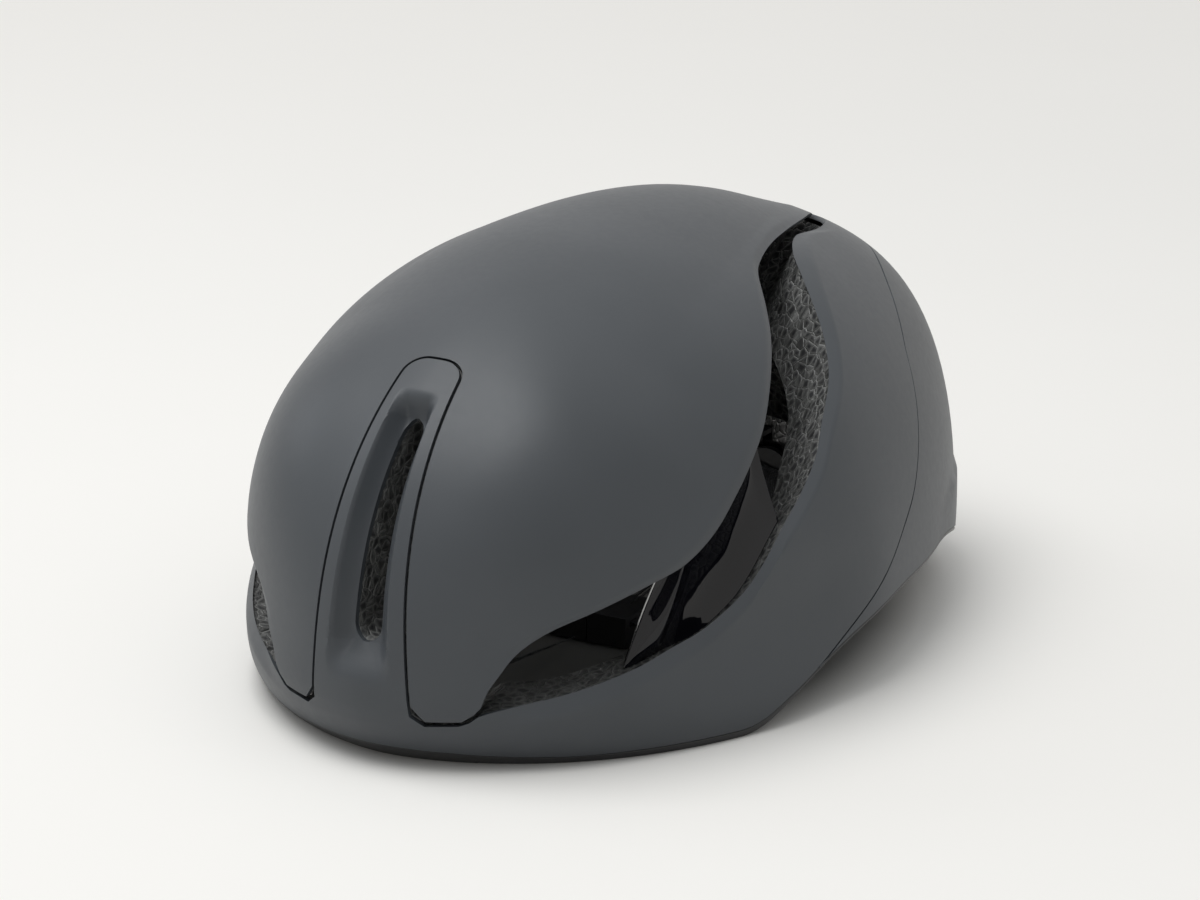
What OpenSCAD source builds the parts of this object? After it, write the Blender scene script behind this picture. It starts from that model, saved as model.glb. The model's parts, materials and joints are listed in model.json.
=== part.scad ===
// Road bike helmet with a closed crown, a front slot and two long crescent side vents.
// Millimetres. +Z is up, the front faces -Y and +X is the wearer's left.
// The origin lies on the resting plane under the middle of the helmet.

/* [Outer form] */
// Width of the helmet at its widest place
helmet_w = 204; // [198:1:214]
// Reach of the front ahead of the widest place
front_reach = 144; // [140:1:150]
// Reach of the cut tail behind the widest place
tail_reach = 142.8; // [139:0.2:147]
// Reach that the rear curve would have if the tail were not cut
tail_curve = 177; // [170:1:184]
// Height of the widest place above the resting plane
widest_z = 27; // [25:0.5:29]
// Rise of the crown above the widest place
crown_rise = 108; // [104:1:112]
// Fullness of the outline seen from above, where 2 is an ellipse
plan_n = 1.79; // [1.74:0.01:1.95]
// Fullness of the outline seen from the side
side_n = 2.41; // [2.35:0.01:2.6]
// Fullness of the outline seen from the front, above the widest place
cross_n = 2.2; // [2.1:0.05:2.4]
// Depth below the widest place at which the front and back would close
front_tuck = 48; // [45:1:52]
// Depth below the widest place at which the sides would close
side_tuck = 94; // [86:1:100]
// Height of the raised teardrop along the rear of the crown
hump_h = 3.75; // [3:0.25:5]
// Half width of the teardrop at its broad front end
hump_w = 52; // [46:1:56]
// How far the lower rear stands out as a bumper
bumper_lip = 1.2; // [0:0.2:2]
// Height of the bumper's upper edge
bumper_z = 40; // [36:1:46]

/* [Walls] */
// Thickness of the outer shells
shell_t = 1.8; // [1.4:0.1:2.2]
// Bond line between a shell and the foam under it
bond_gap = 0.3; // [0.25:0.05:0.4]
// Open joint between neighbouring shells
seam_gap = 1.2; // [0.8:0.1:1.6]
// Height of the black rim trim where it stands on the table
trim_h = 2.5; // [2:0.5:3.5]
// Height of the rim trim at the middle of the front
trim_front_h = 5.5; // [4:0.5:6]
// Width of the rim trim under the foam
trim_w = 9; // [7:0.5:10]
// Height of the arch over each ear
ear_arch_h = 28; // [25:1:30]

/* [Front tongue and slot] */
// Width of the tongue at its foot
tongue_foot_w = 34; // [32:0.5:36]
// Width of the tongue near its top
tongue_top_w = 20; // [19:0.5:22]
// Corner radius at the tongue's top
tongue_round = 7; // [6:0.5:8]
// Depth of the funnel around the slot
slot_depth = 7; // [5:0.5:8]

/* [Head space] */
// Width of the head space
head_w = 156; // [150:1:160]
// Reach of the head space ahead of the widest place
head_front = 114; // [110:1:117]
// Reach of the head space behind the widest place
head_rear = 96; // [93:1:99]
// Rise of the head space above the widest place
head_rise = 81; // [77:1:83]
// Depth of the air channels in the crown foam
channel_depth = 6; // [4:0.5:8]
// Thickness of the comfort pads at their crown
pad_t = 6; // [5:0.5:8]

/* [Retention] */
// Distance of the temple pivots ahead of the widest place
pivot_front = 14; // [12:1:16]
// Height of the temple pivots and of the dial
pivot_z = 39; // [38.5:0.5:41]
// Radius of the temple pins
temple_pin_r = 2.5; // [2:0.25:3]
// Running clearance on every pin
pin_play = 0.06; // [0.03:0.01:0.08]
// Height of the fit band
band_h = 12; // [10:0.5:14]
// Thickness of the fit band and of its racks
band_t = 2; // [1.6:0.1:2.4]
// Distance of the racks behind the widest place
rack_back = 79; // [77:0.5:80]
// Radius of the dial knob
knob_r = 13; // [11:0.5:14]
// Tip radius of the pinion
pinion_r = 3; // [2.5:0.1:3.2]
// Radius of the cradle's plate in plan
cradle_r = 76; // [72:1:80]
// Thickness of the cradle's plate
cradle_t = 2.4; // [2:0.1:3]

/* [Straps] */
// Width of the webbing
web_w = 15; // [13:0.5:16]
// Thickness of the webbing
web_t = 1.4; // [1:0.1:1.6]
// Width of the buckle
buckle_w = 22; // [20:0.5:24]

/* [Hidden] */

// Colours as the finished parts look
SHELL_GREY = [0.24, 0.25, 0.26];
FOAM_BLACK = [0.13, 0.13, 0.13];
GLOSS_BLACK = [0.03, 0.03, 0.04];
TRIM_BLACK = [0.06, 0.06, 0.06];
PAD_BLACK = [0.10, 0.10, 0.11];
WEB_BLACK = [0.08, 0.08, 0.08];
PLASTIC_BLACK = [0.09, 0.09, 0.10];
STEEL = [0.70, 0.71, 0.73];

// Middle of the radial layout, placed so that the whole helmet is centred on the origin
centre = [0, (front_reach - tail_reach - bumper_lip) / 2, widest_z];
tail_n = 21;
tail_plane = pow(pow(tail_reach, -tail_n) - pow(tail_curve, -tail_n), -1 / tail_n);
small_gap = 0.3;

// General shaping functions
function ease(v) = let(c = min(1, max(0, v))) c * c * (3 - 2 * c);
function mix(a, b, t) = a + (b - a) * t;
function bell(v) = abs(v) < 1 ? pow(1 - v * v, 2) : 0;
function unit(v) = v / norm(v);
function arc(mm) = mm / front_reach * 180 / PI;

// A smooth curve through hand-set knots of [place, value]
function span(k, v, i = 0) = i >= len(k) - 2 || v < k[i + 1][0] ? i : span(k, v, i + 1);
function grade(k, i) =
    let(a = max(0, i - 1), b = min(len(k) - 1, i + 1))
    (k[b][1] - k[a][1]) / (k[b][0] - k[a][0]);
function follow(k, v) =
    let(i = span(k, v), h = k[i + 1][0] - k[i][0])
    let(t = min(1, max(0, (v - k[i][0]) / h)), a = k[i][1], b = k[i + 1][1])
    let(m = grade(k, i) * h, n = grade(k, i + 1) * h)
    a + t * (m + t * (3 * (b - a) - 2 * m - n + t * (m + n - 2 * (b - a))));

// Directions from the middle: turn goes round from the front to +X and lift goes up
function round_way(turn, lift) = [cos(lift) * sin(turn), -cos(lift) * cos(turn), sin(lift)];
// Directions over the top: pitch goes from the front over the crown, lean goes to +X
function over_way(pitch, lean) = [sin(lean), -cos(lean) * cos(pitch), cos(lean) * sin(pitch)];

// Distance from the middle to a superellipsoid with its own reach each way
function full_r(d, half, reach, rise, pn, sn) =
    let(plan = pow(abs(d[0]) / half, pn) + pow(abs(d[1]) / reach, pn))
    pow(pow(plan, sn / pn) + pow(abs(d[2]) / rise, sn), -1 / sn);

// Outer surface: superellipsoid with a cut tail, a teardrop hump along the crown, swellings
// beside it in front and behind, hollow cheeks under the side vents and a rear bumper lip
hump_run = [
    [-100, 0], [-60, 0.27], [-20, 0.73], [20, 1], [50, 0.85], [75, 0.27], [95, -0.25], [115, -0.43]
];
function hump_half(y) = max(8, hump_w * (1 - pow(min(1, max(0, (y + 60) / 200)), 1.6)));
function hump(p, lift) =
    let(t = min(1, abs(p[0]) / hump_half(p[1])))
    hump_h * pow(1 - t * t, 1.3) * follow(hump_run, p[1]) * ease((lift - 0.1) / 0.5);
brow_swell = 5.8;
rear_swell = 2.6;
function swell(d, r) =
    let(pitch = atan2(d[2], -d[1]))
    bell((abs(d[0] * r) - 46) / 34)
    * (brow_swell * bell((pitch - 30) / 26) + rear_swell * bell((pitch - 150) / 26));
cheek_sink = 4;
function cheek(turn, lift) = cheek_sink * bell((abs(turn) - 60) / 35) * bell((lift - 3) / 16);
function lip(p) = bumper_lip * ease((p[1] - 60) / 30) * ease((bumper_z - widest_z - p[2]) / 2);
function side_share(d) = d[0] * d[0] / max(1e-9, d[0] * d[0] + d[1] * d[1]);
function skin_r(d) =
    let(reach = d[1] < 0 ? front_reach : tail_curve)
    let(rise = d[2] >= 0 ? crown_rise : mix(front_tuck, side_tuck, side_share(d)))
    let(section_n = d[2] >= 0 ? mix(side_n, cross_n, side_share(d)) : side_n)
    let(full = full_r(d, helmet_w / 2, reach, rise, plan_n, section_n))
    let(cut = pow(pow(full, -tail_n) + pow(max(d[1], 0) / tail_plane, tail_n), -1 / tail_n))
    cut + hump(d * cut, d[2]) + swell(d, cut) + lip(d * cut) - cheek(atan2(d[0], -d[1]), asin(d[2]));
function skin(d, drop) = centre + (skin_r(d) - drop) * d;

// Inner surface: the head space, with air channels along the crown
head_pn = 2;
head_sn = 2.4;
head_drop = 110;
function head_r(d) =
    let(reach = d[1] < 0 ? head_front : head_rear, rise = d[2] >= 0 ? head_rise : head_drop)
    full_r(d, head_w / 2, reach, rise, head_pn, head_sn);
function head_wall(d, grow = 0) = centre + (head_r(d) + grow) * d;
function channel(pitch, lean) =
    channel_depth * (bell(lean / 8) + bell((abs(lean) - 24) / 8))
    * ease((pitch - 25) / 15) * (1 - ease((pitch - 118) / 15));
// Half width of the head space at a place given from the middle
function head_half(y, z) =
    let(reach = y < 0 ? head_front : head_rear, rise = z >= 0 ? head_rise : head_drop)
    let(level = pow(1 - pow(abs(z) / rise, head_sn), head_pn / head_sn))
    head_w / 2 * pow(level - pow(abs(y) / reach, head_pn), 1 / head_pn);

// Rim line: flat in front and at the nape, arched over the ears
arch_start = 58.5;
arch_run = 48;
arch_fall = 124;
arch_soft = 0.14;
function arch_share(t) =
    let(early = min(arch_soft, max(0, t + arch_soft / 2)))
    min(1, t < arch_soft / 2 ? early * early / (2 * arch_soft) : t);
function rim_z(turn) =
    let(t = arch_share((abs(turn) - arch_start) / arch_run))
    ear_arch_h * (1 - (1 - t) * (1 - t)) * (1 - ease((abs(turn) - arch_fall) / arch_run));
function trim_top(turn) =
    let(flat = mix(trim_front_h, trim_h, ease(abs(turn) / 30)))
    rim_z(turn) + mix(flat, 1.2, ease((abs(turn) - arch_start) / 12));
function body_low(turn) = trim_top(turn) + small_gap;
// Lift at which the outer or inner surface passes a height, by repeated correction
function skin_lift(turn, z, drop, lift = -10, n = 6) =
    n == 0 ? lift
    : skin_lift(turn, z, drop,
        asin((z - widest_z) / (skin_r(round_way(turn, lift)) - drop)), n - 1);
function head_lift(turn, z, lift = -10, n = 6) =
    n == 0 ? lift
    : head_lift(turn, z, asin((z - widest_z) / head_r(round_way(turn, lift))), n - 1);

// Edge of the top shell along the crescent vent: lean at each pitch
vent_edge = [
    [-4.05, 12.9], [-2.5, 15], [0, 16], [2.3, 17.4], [5, 19.1], [7.2, 21.3], [9.2, 24.1],
    [12.6, 29.9], [17.6, 36.7], [22.2, 41.5], [30.7, 45.4], [41.4, 47.2], [50.2, 47.6],
    [59.2, 47], [67.5, 45.1], [76.6, 41.8], [84, 38], [91, 33.1], [99.3, 26.6], [105.4, 23.6],
    [114.5, 19.9], [123.4, 16.5], [131.9, 12.9], [143, 6.6]
];
// Upper edge of the lower shell: lift at each turn
band_edge = [
    [0, -4.55], [13, -4.55], [15, -3.2], [19.7, -2.2], [24.5, -1.4], [29.6, -0.3], [36.7, 1.6],
    [41, 3.3], [47.4, 5.5], [53, 8.6], [57, 11.7], [64, 19.4], [70.3, 24.4], [78, 30.2],
    [84, 35.4], [95.4, 41.8], [104, 46.7], [114, 51.5], [125, 54.4], [138, 55.1], [151, 51.6],
    [158, 45], [166, 39.2], [172, 36.4], [180, 36.55]
];
// Seam between the lower shell and the rear shell: lift at each turn
rear_seam = [
    [66, -10.2], [70.5, -7.8], [84, -0.1], [95, 6.5], [102, 11.1], [108.5, 14.8], [115, 19.6],
    [121.4, 24.7], [127, 29.1], [131.6, 32.1], [145, 35.7], [153.6, 35.7], [165, 33.2], [180, 31.5]
];
// The crown ends one seam short of the band's edge at the tail
tail_pitch = 180 - follow(band_edge, 180) - arc(seam_gap);
leg_pitch = -4.05;
tongue_pitch = 42.7;

// Seam round the front tongue, widened or narrowed all round by grow
function tongue_lean(pitch, grow) =
    let(corner = tongue_round + grow, top = tongue_pitch + arc(grow))
    let(over = min(1, max(0, (pitch - top) / arc(corner) + 1)))
    let(half = mix(tongue_foot_w, tongue_top_w, (pitch + 2) / 42) / 2 + grow)
    asin((half - corner * (1 - sqrt(1 - over * over))) / skin_r(over_way(pitch, 0)));

// Closed wall between two sheets of points, with a cell wherever has(i, j) is true.
// A ring joins its last row of points to its first.
module wall(outer, inner, has, ring = false) {
    rows = len(outer);
    cols = len(outer[0]);
    last_row = ring ? rows - 1 : rows - 2;
    function full(i, j) =
        j >= 0 && j < cols - 1 && (ring || (i >= 0 && i <= last_row))
        && has((i + rows) % rows, j);
    function at(i, j, side) = (side * rows + (i + rows) % rows) * cols + j;
    function quad(a, b, c, d, turned) =
        turned ? [[a, b, d], [b, c, d]] : [[a, b, c], [a, c, d]];
    faces = [
        for (i = [0 : last_row], j = [0 : cols - 2]) if (full(i, j))
            let(n = (i + 1) % rows, p = norm(outer[i][j] - outer[n][j + 1]))
            let(q = norm(outer[i][j + 1] - outer[n][j]), half = ring ? i < rows / 2 : j < (cols - 1) / 2)
            let(turned = abs(p - q) > 0.01 ? q < p : half)
            let(a = at(i, j, 0), b = at(i, j + 1, 0), c = at(i + 1, j + 1, 0), d = at(i + 1, j, 0))
            let(e = at(i, j, 1), f = at(i, j + 1, 1), g = at(i + 1, j + 1, 1), h = at(i + 1, j, 1))
            each concat(
                quad(a, b, c, d, turned),
                [for (t = quad(e, f, g, h, turned)) [t[2], t[1], t[0]]],
                full(i - 1, j) ? [] : quad(a, e, f, b, false),
                full(i + 1, j) ? [] : quad(c, g, h, d, false),
                full(i, j - 1) ? [] : quad(d, h, e, a, false),
                full(i, j + 1) ? [] : quad(b, f, g, c, false))
    ];
    points = [for (sheet = [outer, inner], row = sheet) each row];
    polyhedron(points, faces, convexity = 6);
}

// Top shell and the crown foam: rows run over the top, columns from left to right
top_cols = 10;
top_rows = [
    leg_pitch, -2.5, 0, 3, 6, 9, 13, 18, 24, 30, 36, 39.8, 41.2, 42.2,
    tongue_pitch, 46, 51, 57, 64, 71, 78, 85, 92, 99, 106, 113, 120, 127, 133, 138, tail_pitch
];
function top_pitch(i, grow) =
    i == 0 ? top_rows[0] + arc(grow)
    : top_rows[i] == tongue_pitch ? tongue_pitch + arc(seam_gap / 2 + grow)
    : i == len(top_rows) - 1 ? top_rows[i] - arc(grow) : top_rows[i];
// The foam reaches further into each seam than the shells do
foam_reach = (seam_gap - small_gap) / 2;
function leg_round(pitch) = 1.4 * (1 - ease((pitch - leg_pitch) / 2));
function top_lean(pitch, j, grow, edge) =
    let(out = follow(vent_edge, pitch) - edge, k = abs(j))
    let(notch = tongue_lean(min(pitch, tongue_pitch), seam_gap / 2 + grow) + leg_round(pitch))
    let(first = mix(notch, out / top_cols, ease((pitch - tongue_pitch) / 25)))
    sign(j) * (k < 1 ? 0 : mix(first, out, (k - 1) / (top_cols - 1)));
function top_sheet(grow, edge, place) = [
    for (i = [0 : len(top_rows) - 1])
        let(pitch = top_pitch(i, grow))
        [for (j = [-top_cols : top_cols])
            place(pitch, top_lean(pitch, -j, grow, edge(pitch)))]
];
function top_cell(i, j) = top_rows[i] >= tongue_pitch || j < top_cols - 1 || j > top_cols;

module top_shell() {
    color(SHELL_GREY)
    wall(
        top_sheet(0, function(p) 0, function(p, l) skin(over_way(p, l), 0)),
        top_sheet(0, function(p) 0, function(p, l) skin(over_way(p, l), shell_t)),
        function(i, j) top_cell(i, j));
}

// The foam stops short of the shell's vent edge and is cut back further inside
crown_setback = 1;
crown_extra = 0.9;
crown_flare = 8;
function vent_share(pitch) = ease((pitch + 1) / 9) * (1 - ease((pitch - 126) / 12));
function crown_back(pitch) = crown_setback + crown_extra * ease((pitch - 108) / 10);
module crown_foam() {
    color(FOAM_BLACK)
    wall(
        top_sheet(-foam_reach, function(p) crown_back(p),
            function(p, l) skin(over_way(p, l), shell_t + bond_gap)),
        top_sheet(-foam_reach, function(p) crown_back(p) + crown_flare * vent_share(p),
            function(p, l) head_wall(over_way(p, l), channel(p, l))),
        function(i, j) top_cell(i, j));
}

// Lower shell and base foam: columns of turn go all the way round, rows go up
tongue_share = [0, 0.17, 0.33, 0.48, 0.62, 0.8, 1];
tongue_last = len(tongue_share) - 1;
side_turns = [12.5, 15, 19.5, 24.5, for (t = [30 : 5 : 180]) t];
half_ring = len(side_turns) + tongue_last;
band_rows = 5;
slot_low = 4.8;
slot_high = 34;
tongue_rows = [-2.6, -1, 1, 2.8, slot_low, 8, 12, 17, 22, 27, 31, slot_high, 35.5, 37.5, 39.6, 41, 41.8];
port_low = 4;
port_high = 14;
port_from = 160;
port_to = 175;
foot_turn = 8.4;

function ring_turn(k) = k <= tongue_last ? tongue_share[k] * foot_turn : side_turns[k - tongue_last - 1];
function ring_side(i) = i - half_ring + 1;
// Lift of one row at one turn, steered to the exhaust ports near the tail if there are any
function row_lift(turn, low, top, j, ports) =
    let(even = mix(low, top, j / band_rows))
    let(port = j == 2 ? port_low : j == 3 ? port_high : even)
    ports ? mix(even, port, ease((abs(turn) - 140) / 12)) : even;
function funnel(pitch, share) =
    slot_depth * (1 - ease((share - 0.33) / 0.29))
    * ease((pitch - 0.6) / 4.2) * (1 - ease((pitch - slot_high) / 3.5));
function tongue_top_row(j, grow) =
    j == len(tongue_rows) - 1 ? tongue_pitch - arc(seam_gap / 2 + grow) : tongue_rows[j];
function ring_sheet(grow, ports, low, top, place) = [
    for (i = [0 : 2 * half_ring - 1])
        let(s = ring_side(i), k = abs(s), turn = sign(s) * ring_turn(k))
        let(share = k <= tongue_last ? tongue_share[k] : 1)
        concat(
            [for (j = [0 : band_rows])
                place(round_way(turn, row_lift(turn, low(turn), top(turn), j, ports)), 0)],
            [for (j = [0 : len(tongue_rows) - 1])
                let(pitch = tongue_top_row(j, grow))
                let(lean = sign(s) * share * tongue_lean(pitch, -seam_gap / 2 - grow))
                place(over_way(pitch, lean), funnel(pitch, share))])
];
// Cells of the tongue, less the slot through it
function in_tongue(i, j) =
    let(s = ring_side(i), k = s < 0 ? -s - 1 : s, row = j - band_rows)
    j < band_rows || (k < tongue_last && !in_slot(k, row));
function in_slot(k, row) =
    k < 2 && row >= 1 && tongue_rows[row - 1] >= slot_low && tongue_rows[row] <= slot_high;
function in_port(i, j) =
    let(s = ring_side(i), k = s < 0 ? -s - 1 : s)
    j == 2 && k < half_ring - 1 && ring_turn(k) >= port_from && ring_turn(k + 1) <= port_to;

function seam_lift(turn) = follow(rear_seam, abs(turn)) + (abs(turn) < 66 ? -30 : 0);
function band_low(turn, drop) =
    max(skin_lift(turn, body_low(turn), drop), seam_lift(turn) + arc(seam_gap / 2));
module lower_shell() {
    color(SHELL_GREY)
    wall(
        ring_sheet(0, false, function(t) band_low(t, 0), function(t) follow(band_edge, abs(t)),
            function(d, f) skin(d, f)),
        ring_sheet(0, false, function(t) band_low(t, shell_t), function(t) follow(band_edge, abs(t)),
            function(d, f) skin(d, shell_t + f)),
        function(i, j) in_tongue(i, j), ring = true);
}

// The bond line opens a little under the tail's shoulder
tail_slack = 1.6;
function tail_gap(d) =
    let(turn = abs(atan2(d[0], -d[1])), lift = asin(d[2]))
    tail_slack * ease((turn - 126) / 18) * bell((lift - 28) / 30);
base_setback = 0.8;
// The foam's top face slopes inward along the sides, and lies level at the front
base_flare = 3;
function flare_at(turn) = base_flare * ease((abs(turn) - 36) / 14);
function side_vent(turn) = ease((abs(turn) - 14) / 8) * (1 - ease((abs(turn) - 150) / 14));
function base_top(turn, flare) =
    follow(band_edge, abs(turn)) + mix(arc(foam_reach), -base_setback - flare, side_vent(turn));
module base_foam() {
    color(FOAM_BLACK)
    wall(
        ring_sheet(-foam_reach, true, function(t) skin_lift(t, body_low(t), shell_t + bond_gap),
            function(t) base_top(t, 0),
            function(d, f) skin(d, shell_t + bond_gap + f + tail_gap(d))),
        ring_sheet(-foam_reach, true, function(t) head_lift(t, body_low(t)),
            function(t) base_top(t, flare_at(t)),
            function(d, f) head_wall(d)),
        function(i, j) in_tongue(i, j) && !in_port(i, j), ring = true);
}

// Rear shell: from one ear round the tail to the other
rear_turns = [73, for (t = [77, 81, 85]) t, for (t = [90 : 5 : 270]) t, for (t = [275, 279, 283]) t, 287];
function rear_sheet(drop) = [
    for (t = rear_turns)
        let(turn = t > 180 ? t - 360 : t)
        let(low = skin_lift(turn, body_low(turn), drop), top = seam_lift(turn) - arc(seam_gap / 2))
        [for (j = [0 : band_rows]) skin(round_way(turn, row_lift(turn, low, top, j, true)), drop)]
];
function rear_port(i, j) =
    let(a = rear_turns[i], b = rear_turns[i + 1])
    j == 2 && ((a >= port_from && b <= port_to) || (a >= 360 - port_to && b <= 360 - port_from));
module rear_shell() {
    color(SHELL_GREY)
    wall(rear_sheet(0), rear_sheet(shell_t), function(i, j) !rear_port(i, j));
}

// Rim trim: a flat ring that the helmet stands on
trim_drop = 0.2;
function trim_sheet(inset) = [
    for (i = [0 : 2 * half_ring - 1])
        let(s = ring_side(i), turn = sign(s) * ring_turn(abs(s)))
        [for (z = [rim_z(turn), trim_top(turn)])
            let(p = skin(round_way(turn, skin_lift(turn, z, trim_drop)), trim_drop))
            [p[0] - inset * sin(turn), p[1] + inset * cos(turn), z]]
];
module rim_trim() {
    color(TRIM_BLACK)
    wall(trim_sheet(0), trim_sheet(trim_w), function(i, j) true, ring = true);
}

// Glossy bridge across the crescent vent: a scoop with a ridge at its front
bridge_pitch = [21.5, 67];
bridge_turn = [34, 68];
bridge_t = 2.4;
bridge_cols = 10;
bridge_rows = 6;
bridge_inset = 4;
vent_wall = 20;
bridge_scoop = 4;
bridge_ridge = 5;
// Points on the foam's own faces inside the vent, a share of the way in
function crown_side(pitch, share) =
    let(out = follow(vent_edge, pitch) - crown_setback)
    let(a = skin(over_way(pitch, out), shell_t + bond_gap))
    let(b = head_wall(over_way(pitch, out - crown_flare * vent_share(pitch)), channel(pitch, out)))
    a + share * (b - a);
function base_side(turn, share) =
    let(a = skin(round_way(turn, base_top(turn, 0)), shell_t + bond_gap))
    let(b = head_wall(round_way(turn, base_top(turn, flare_at(turn)))))
    a + share * (b - a);
function bridge_point(s, t, extra) =
    let(share = bridge_inset / vent_wall)
    let(a = crown_side(mix(bridge_pitch[0], bridge_pitch[1], s), share))
    let(b = base_side(mix(bridge_turn[0], bridge_turn[1], s), share))
    let(gap = small_gap / norm(b - a), p = a + mix(gap, 1 - gap, t) * (b - a))
    let(bow = sin(180 * t), sink = bridge_scoop * ease(s / 0.3) - bridge_ridge * (1 - ease(s / 0.15)))
    p - (bow * sink + extra) * unit(p - centre);
function bridge_sheet(extra, side) = [
    for (i = [0 : bridge_cols])
        [for (j = [0 : bridge_rows])
            let(t = (side > 0 ? j : bridge_rows - j) / bridge_rows)
            let(p = bridge_point(i / bridge_cols, t, extra))
            [side * p[0], p[1], p[2]]]
];
module vent_bridge(side) {
    color(GLOSS_BLACK)
    wall(bridge_sheet(bridge_t, side), bridge_sheet(0, side), function(i, j) true);
}
module vent_bridge_left() { vent_bridge(1); }
module vent_bridge_right() { vent_bridge(-1); }

// Comfort pads: crowned cushions whose sides draw in between their corners
pad_cols = 12;
pad_rows = 4;
pad_edge = 0.3;
disc_t = 0.8;
disc_gap = 0.35;
pad_lift = disc_gap + disc_t + 0.2;
function pad_crown(u, v) = mix(pad_edge, 1, (1 - pow(u, 4)) * (1 - pow(v, 4)));
function draw_in(u, v, much) = u * (1 - much * (1 - v * v));
along_draw = 0.015;
across_draw = 0.08;
module cushion(way, cols = pad_cols, thick = pad_t) {
    function sheet(front) = [
        for (i = [0 : cols])
            let(u = 2 * i / cols - 1)
            [for (j = [0 : pad_rows])
                let(v = 2 * j / pad_rows - 1, d = way(draw_in(u, v, along_draw), draw_in(v, u, across_draw)))
                head_wall(d, -pad_lift - (front ? thick * pad_crown(u, v) : 0))]
    ];
    color(PAD_BLACK) wall(sheet(false), sheet(true), function(i, j) true);
}
brow_half = 45.5;
brow_low = -11.3;
brow_high = -4.6;
brow_mid = (brow_low + brow_high) / 2;
crown_lean = 12;
crown_half = 4.6;
crown_pad_from = 48;
crown_pad_to = 118;
side_pad_turn = 104;
side_pad_half = 14;
side_pad_low = 19;
side_pad_high = 29;
side_pad_mid = (side_pad_low + side_pad_high) / 2;
module brow_pad() {
    cushion(function(u, v) round_way(brow_half * u, mix(brow_low, brow_high, (v + 1) / 2)), cols = 16);
}
module crown_pad(lean) {
    cushion(function(u, v) over_way(mix(crown_pad_from, crown_pad_to, (u + 1) / 2), lean - crown_half * v));
}
module crown_pad_left() { crown_pad(crown_lean); }
module crown_pad_right() { crown_pad(-crown_lean); }
module side_pad(side) {
    cushion(function(u, v) round_way(side * side_pad_turn + side_pad_half * u,
        mix(side_pad_low, side_pad_high, (v + 1) / 2)), cols = 8);
}
module side_pad_left() { side_pad(1); }
module side_pad_right() { side_pad(-1); }

// Hook discs on the foam's inner face hold the pads
disc_r = 5;
disc_ways = [
    round_way(-30, brow_mid), round_way(0, brow_mid), round_way(30, brow_mid),
    round_way(-side_pad_turn, side_pad_mid), round_way(side_pad_turn, side_pad_mid),
    over_way(60, crown_lean), over_way(60, -crown_lean),
    over_way(106, crown_lean), over_way(106, -crown_lean)
];
function wall_normal(d) =
    let(s = unit(cross([0, 0, 1], d)), t = cross(d, s), p = head_wall(d))
    unit(cross(head_wall(unit(d + 0.01 * s)) - p, head_wall(unit(d + 0.01 * t)) - p));
module pad_fasteners() {
    color(PLASTIC_BLACK)
    for (d = disc_ways) {
        n = wall_normal(d);
        translate(head_wall(d) - (disc_gap + disc_t) * n)
            rotate([0, acos(n[2]), atan2(n[1], n[0])])
                cylinder(r = disc_r, h = disc_t, $fn = 48);
    }
}

// Temple pivots
pivot = [0, centre[1] - pivot_front, pivot_z];
anchor_r = 8;
anchor_t = 1.6;
anchor_x = head_half(-pivot_front - anchor_r, pivot_z - widest_z + anchor_r) - small_gap;
temple_pin_len = 6;
link_t = 4;
link_x = anchor_x - anchor_t - 0.4 - link_t;
link_h = 12;
arm_eye_back = 14;
arm_pin_r = 1.5;
arm_eye_r = 3.4;
ear_t = 3;
arm_eye = [link_x + link_t / 2, pivot[1] + arm_eye_back, pivot_z];
fine = 64;

module along_x(r, h) { rotate([0, 90, 0]) cylinder(r = r, h = h, $fn = fine); }
module along_y(r, h) { rotate([-90, 0, 0]) cylinder(r = r, h = h, $fn = fine); }

module temple_anchor(side) {
    pin_cap_r = temple_pin_r + 1.5;
    color(PLASTIC_BLACK)
    mirror([side < 0 ? 1 : 0, 0, 0])
    translate([anchor_x - anchor_t, pivot[1], pivot_z]) {
        along_x(anchor_r, anchor_t);
        translate([-temple_pin_len, 0, 0]) along_x(temple_pin_r, temple_pin_len + 0.1);
        translate([-temple_pin_len, 0, 0]) along_x(pin_cap_r, temple_pin_len - 0.8 - link_t);
    }
}
module temple_anchor_left() { temple_anchor(1); }
module temple_anchor_right() { temple_anchor(-1); }

module temple_link(side) {
    color(PLASTIC_BLACK)
    mirror([side < 0 ? 1 : 0, 0, 0])
    difference() {
        union() {
            translate([link_x, pivot[1], pivot_z]) along_x(link_h / 2, link_t);
            translate([link_x, pivot[1], pivot_z - link_h / 2])
                cube([link_t, arm_eye_back - arm_eye_r - 1, link_h]);
            for (z = [-link_h / 2, link_h / 2 - ear_t])
                translate([link_x, pivot[1], pivot_z + z]) cube([link_t, arm_eye_back, ear_t]);
            for (z = [-link_h / 2, link_h / 2 - ear_t])
                translate([arm_eye[0], arm_eye[1], pivot_z + z])
                    cylinder(r = link_t / 2 + 1, h = ear_t, $fn = fine);
        }
        translate([link_x - 1, pivot[1], pivot_z]) along_x(temple_pin_r + pin_play, link_t + 2);
        translate([arm_eye[0], arm_eye[1], pivot_z - link_h])
            cylinder(r = arm_pin_r + pin_play, h = 2 * link_h, $fn = fine);
    }
}
module temple_link_left() { temple_link(1); }
module temple_link_right() { temple_link(-1); }

module arm_pins() {
    color(STEEL)
    for (side = [-1, 1])
        translate([side * arm_eye[0], arm_eye[1], pivot_z - link_h / 2])
            cylinder(r = arm_pin_r, h = link_h, $fn = fine);
}

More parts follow.
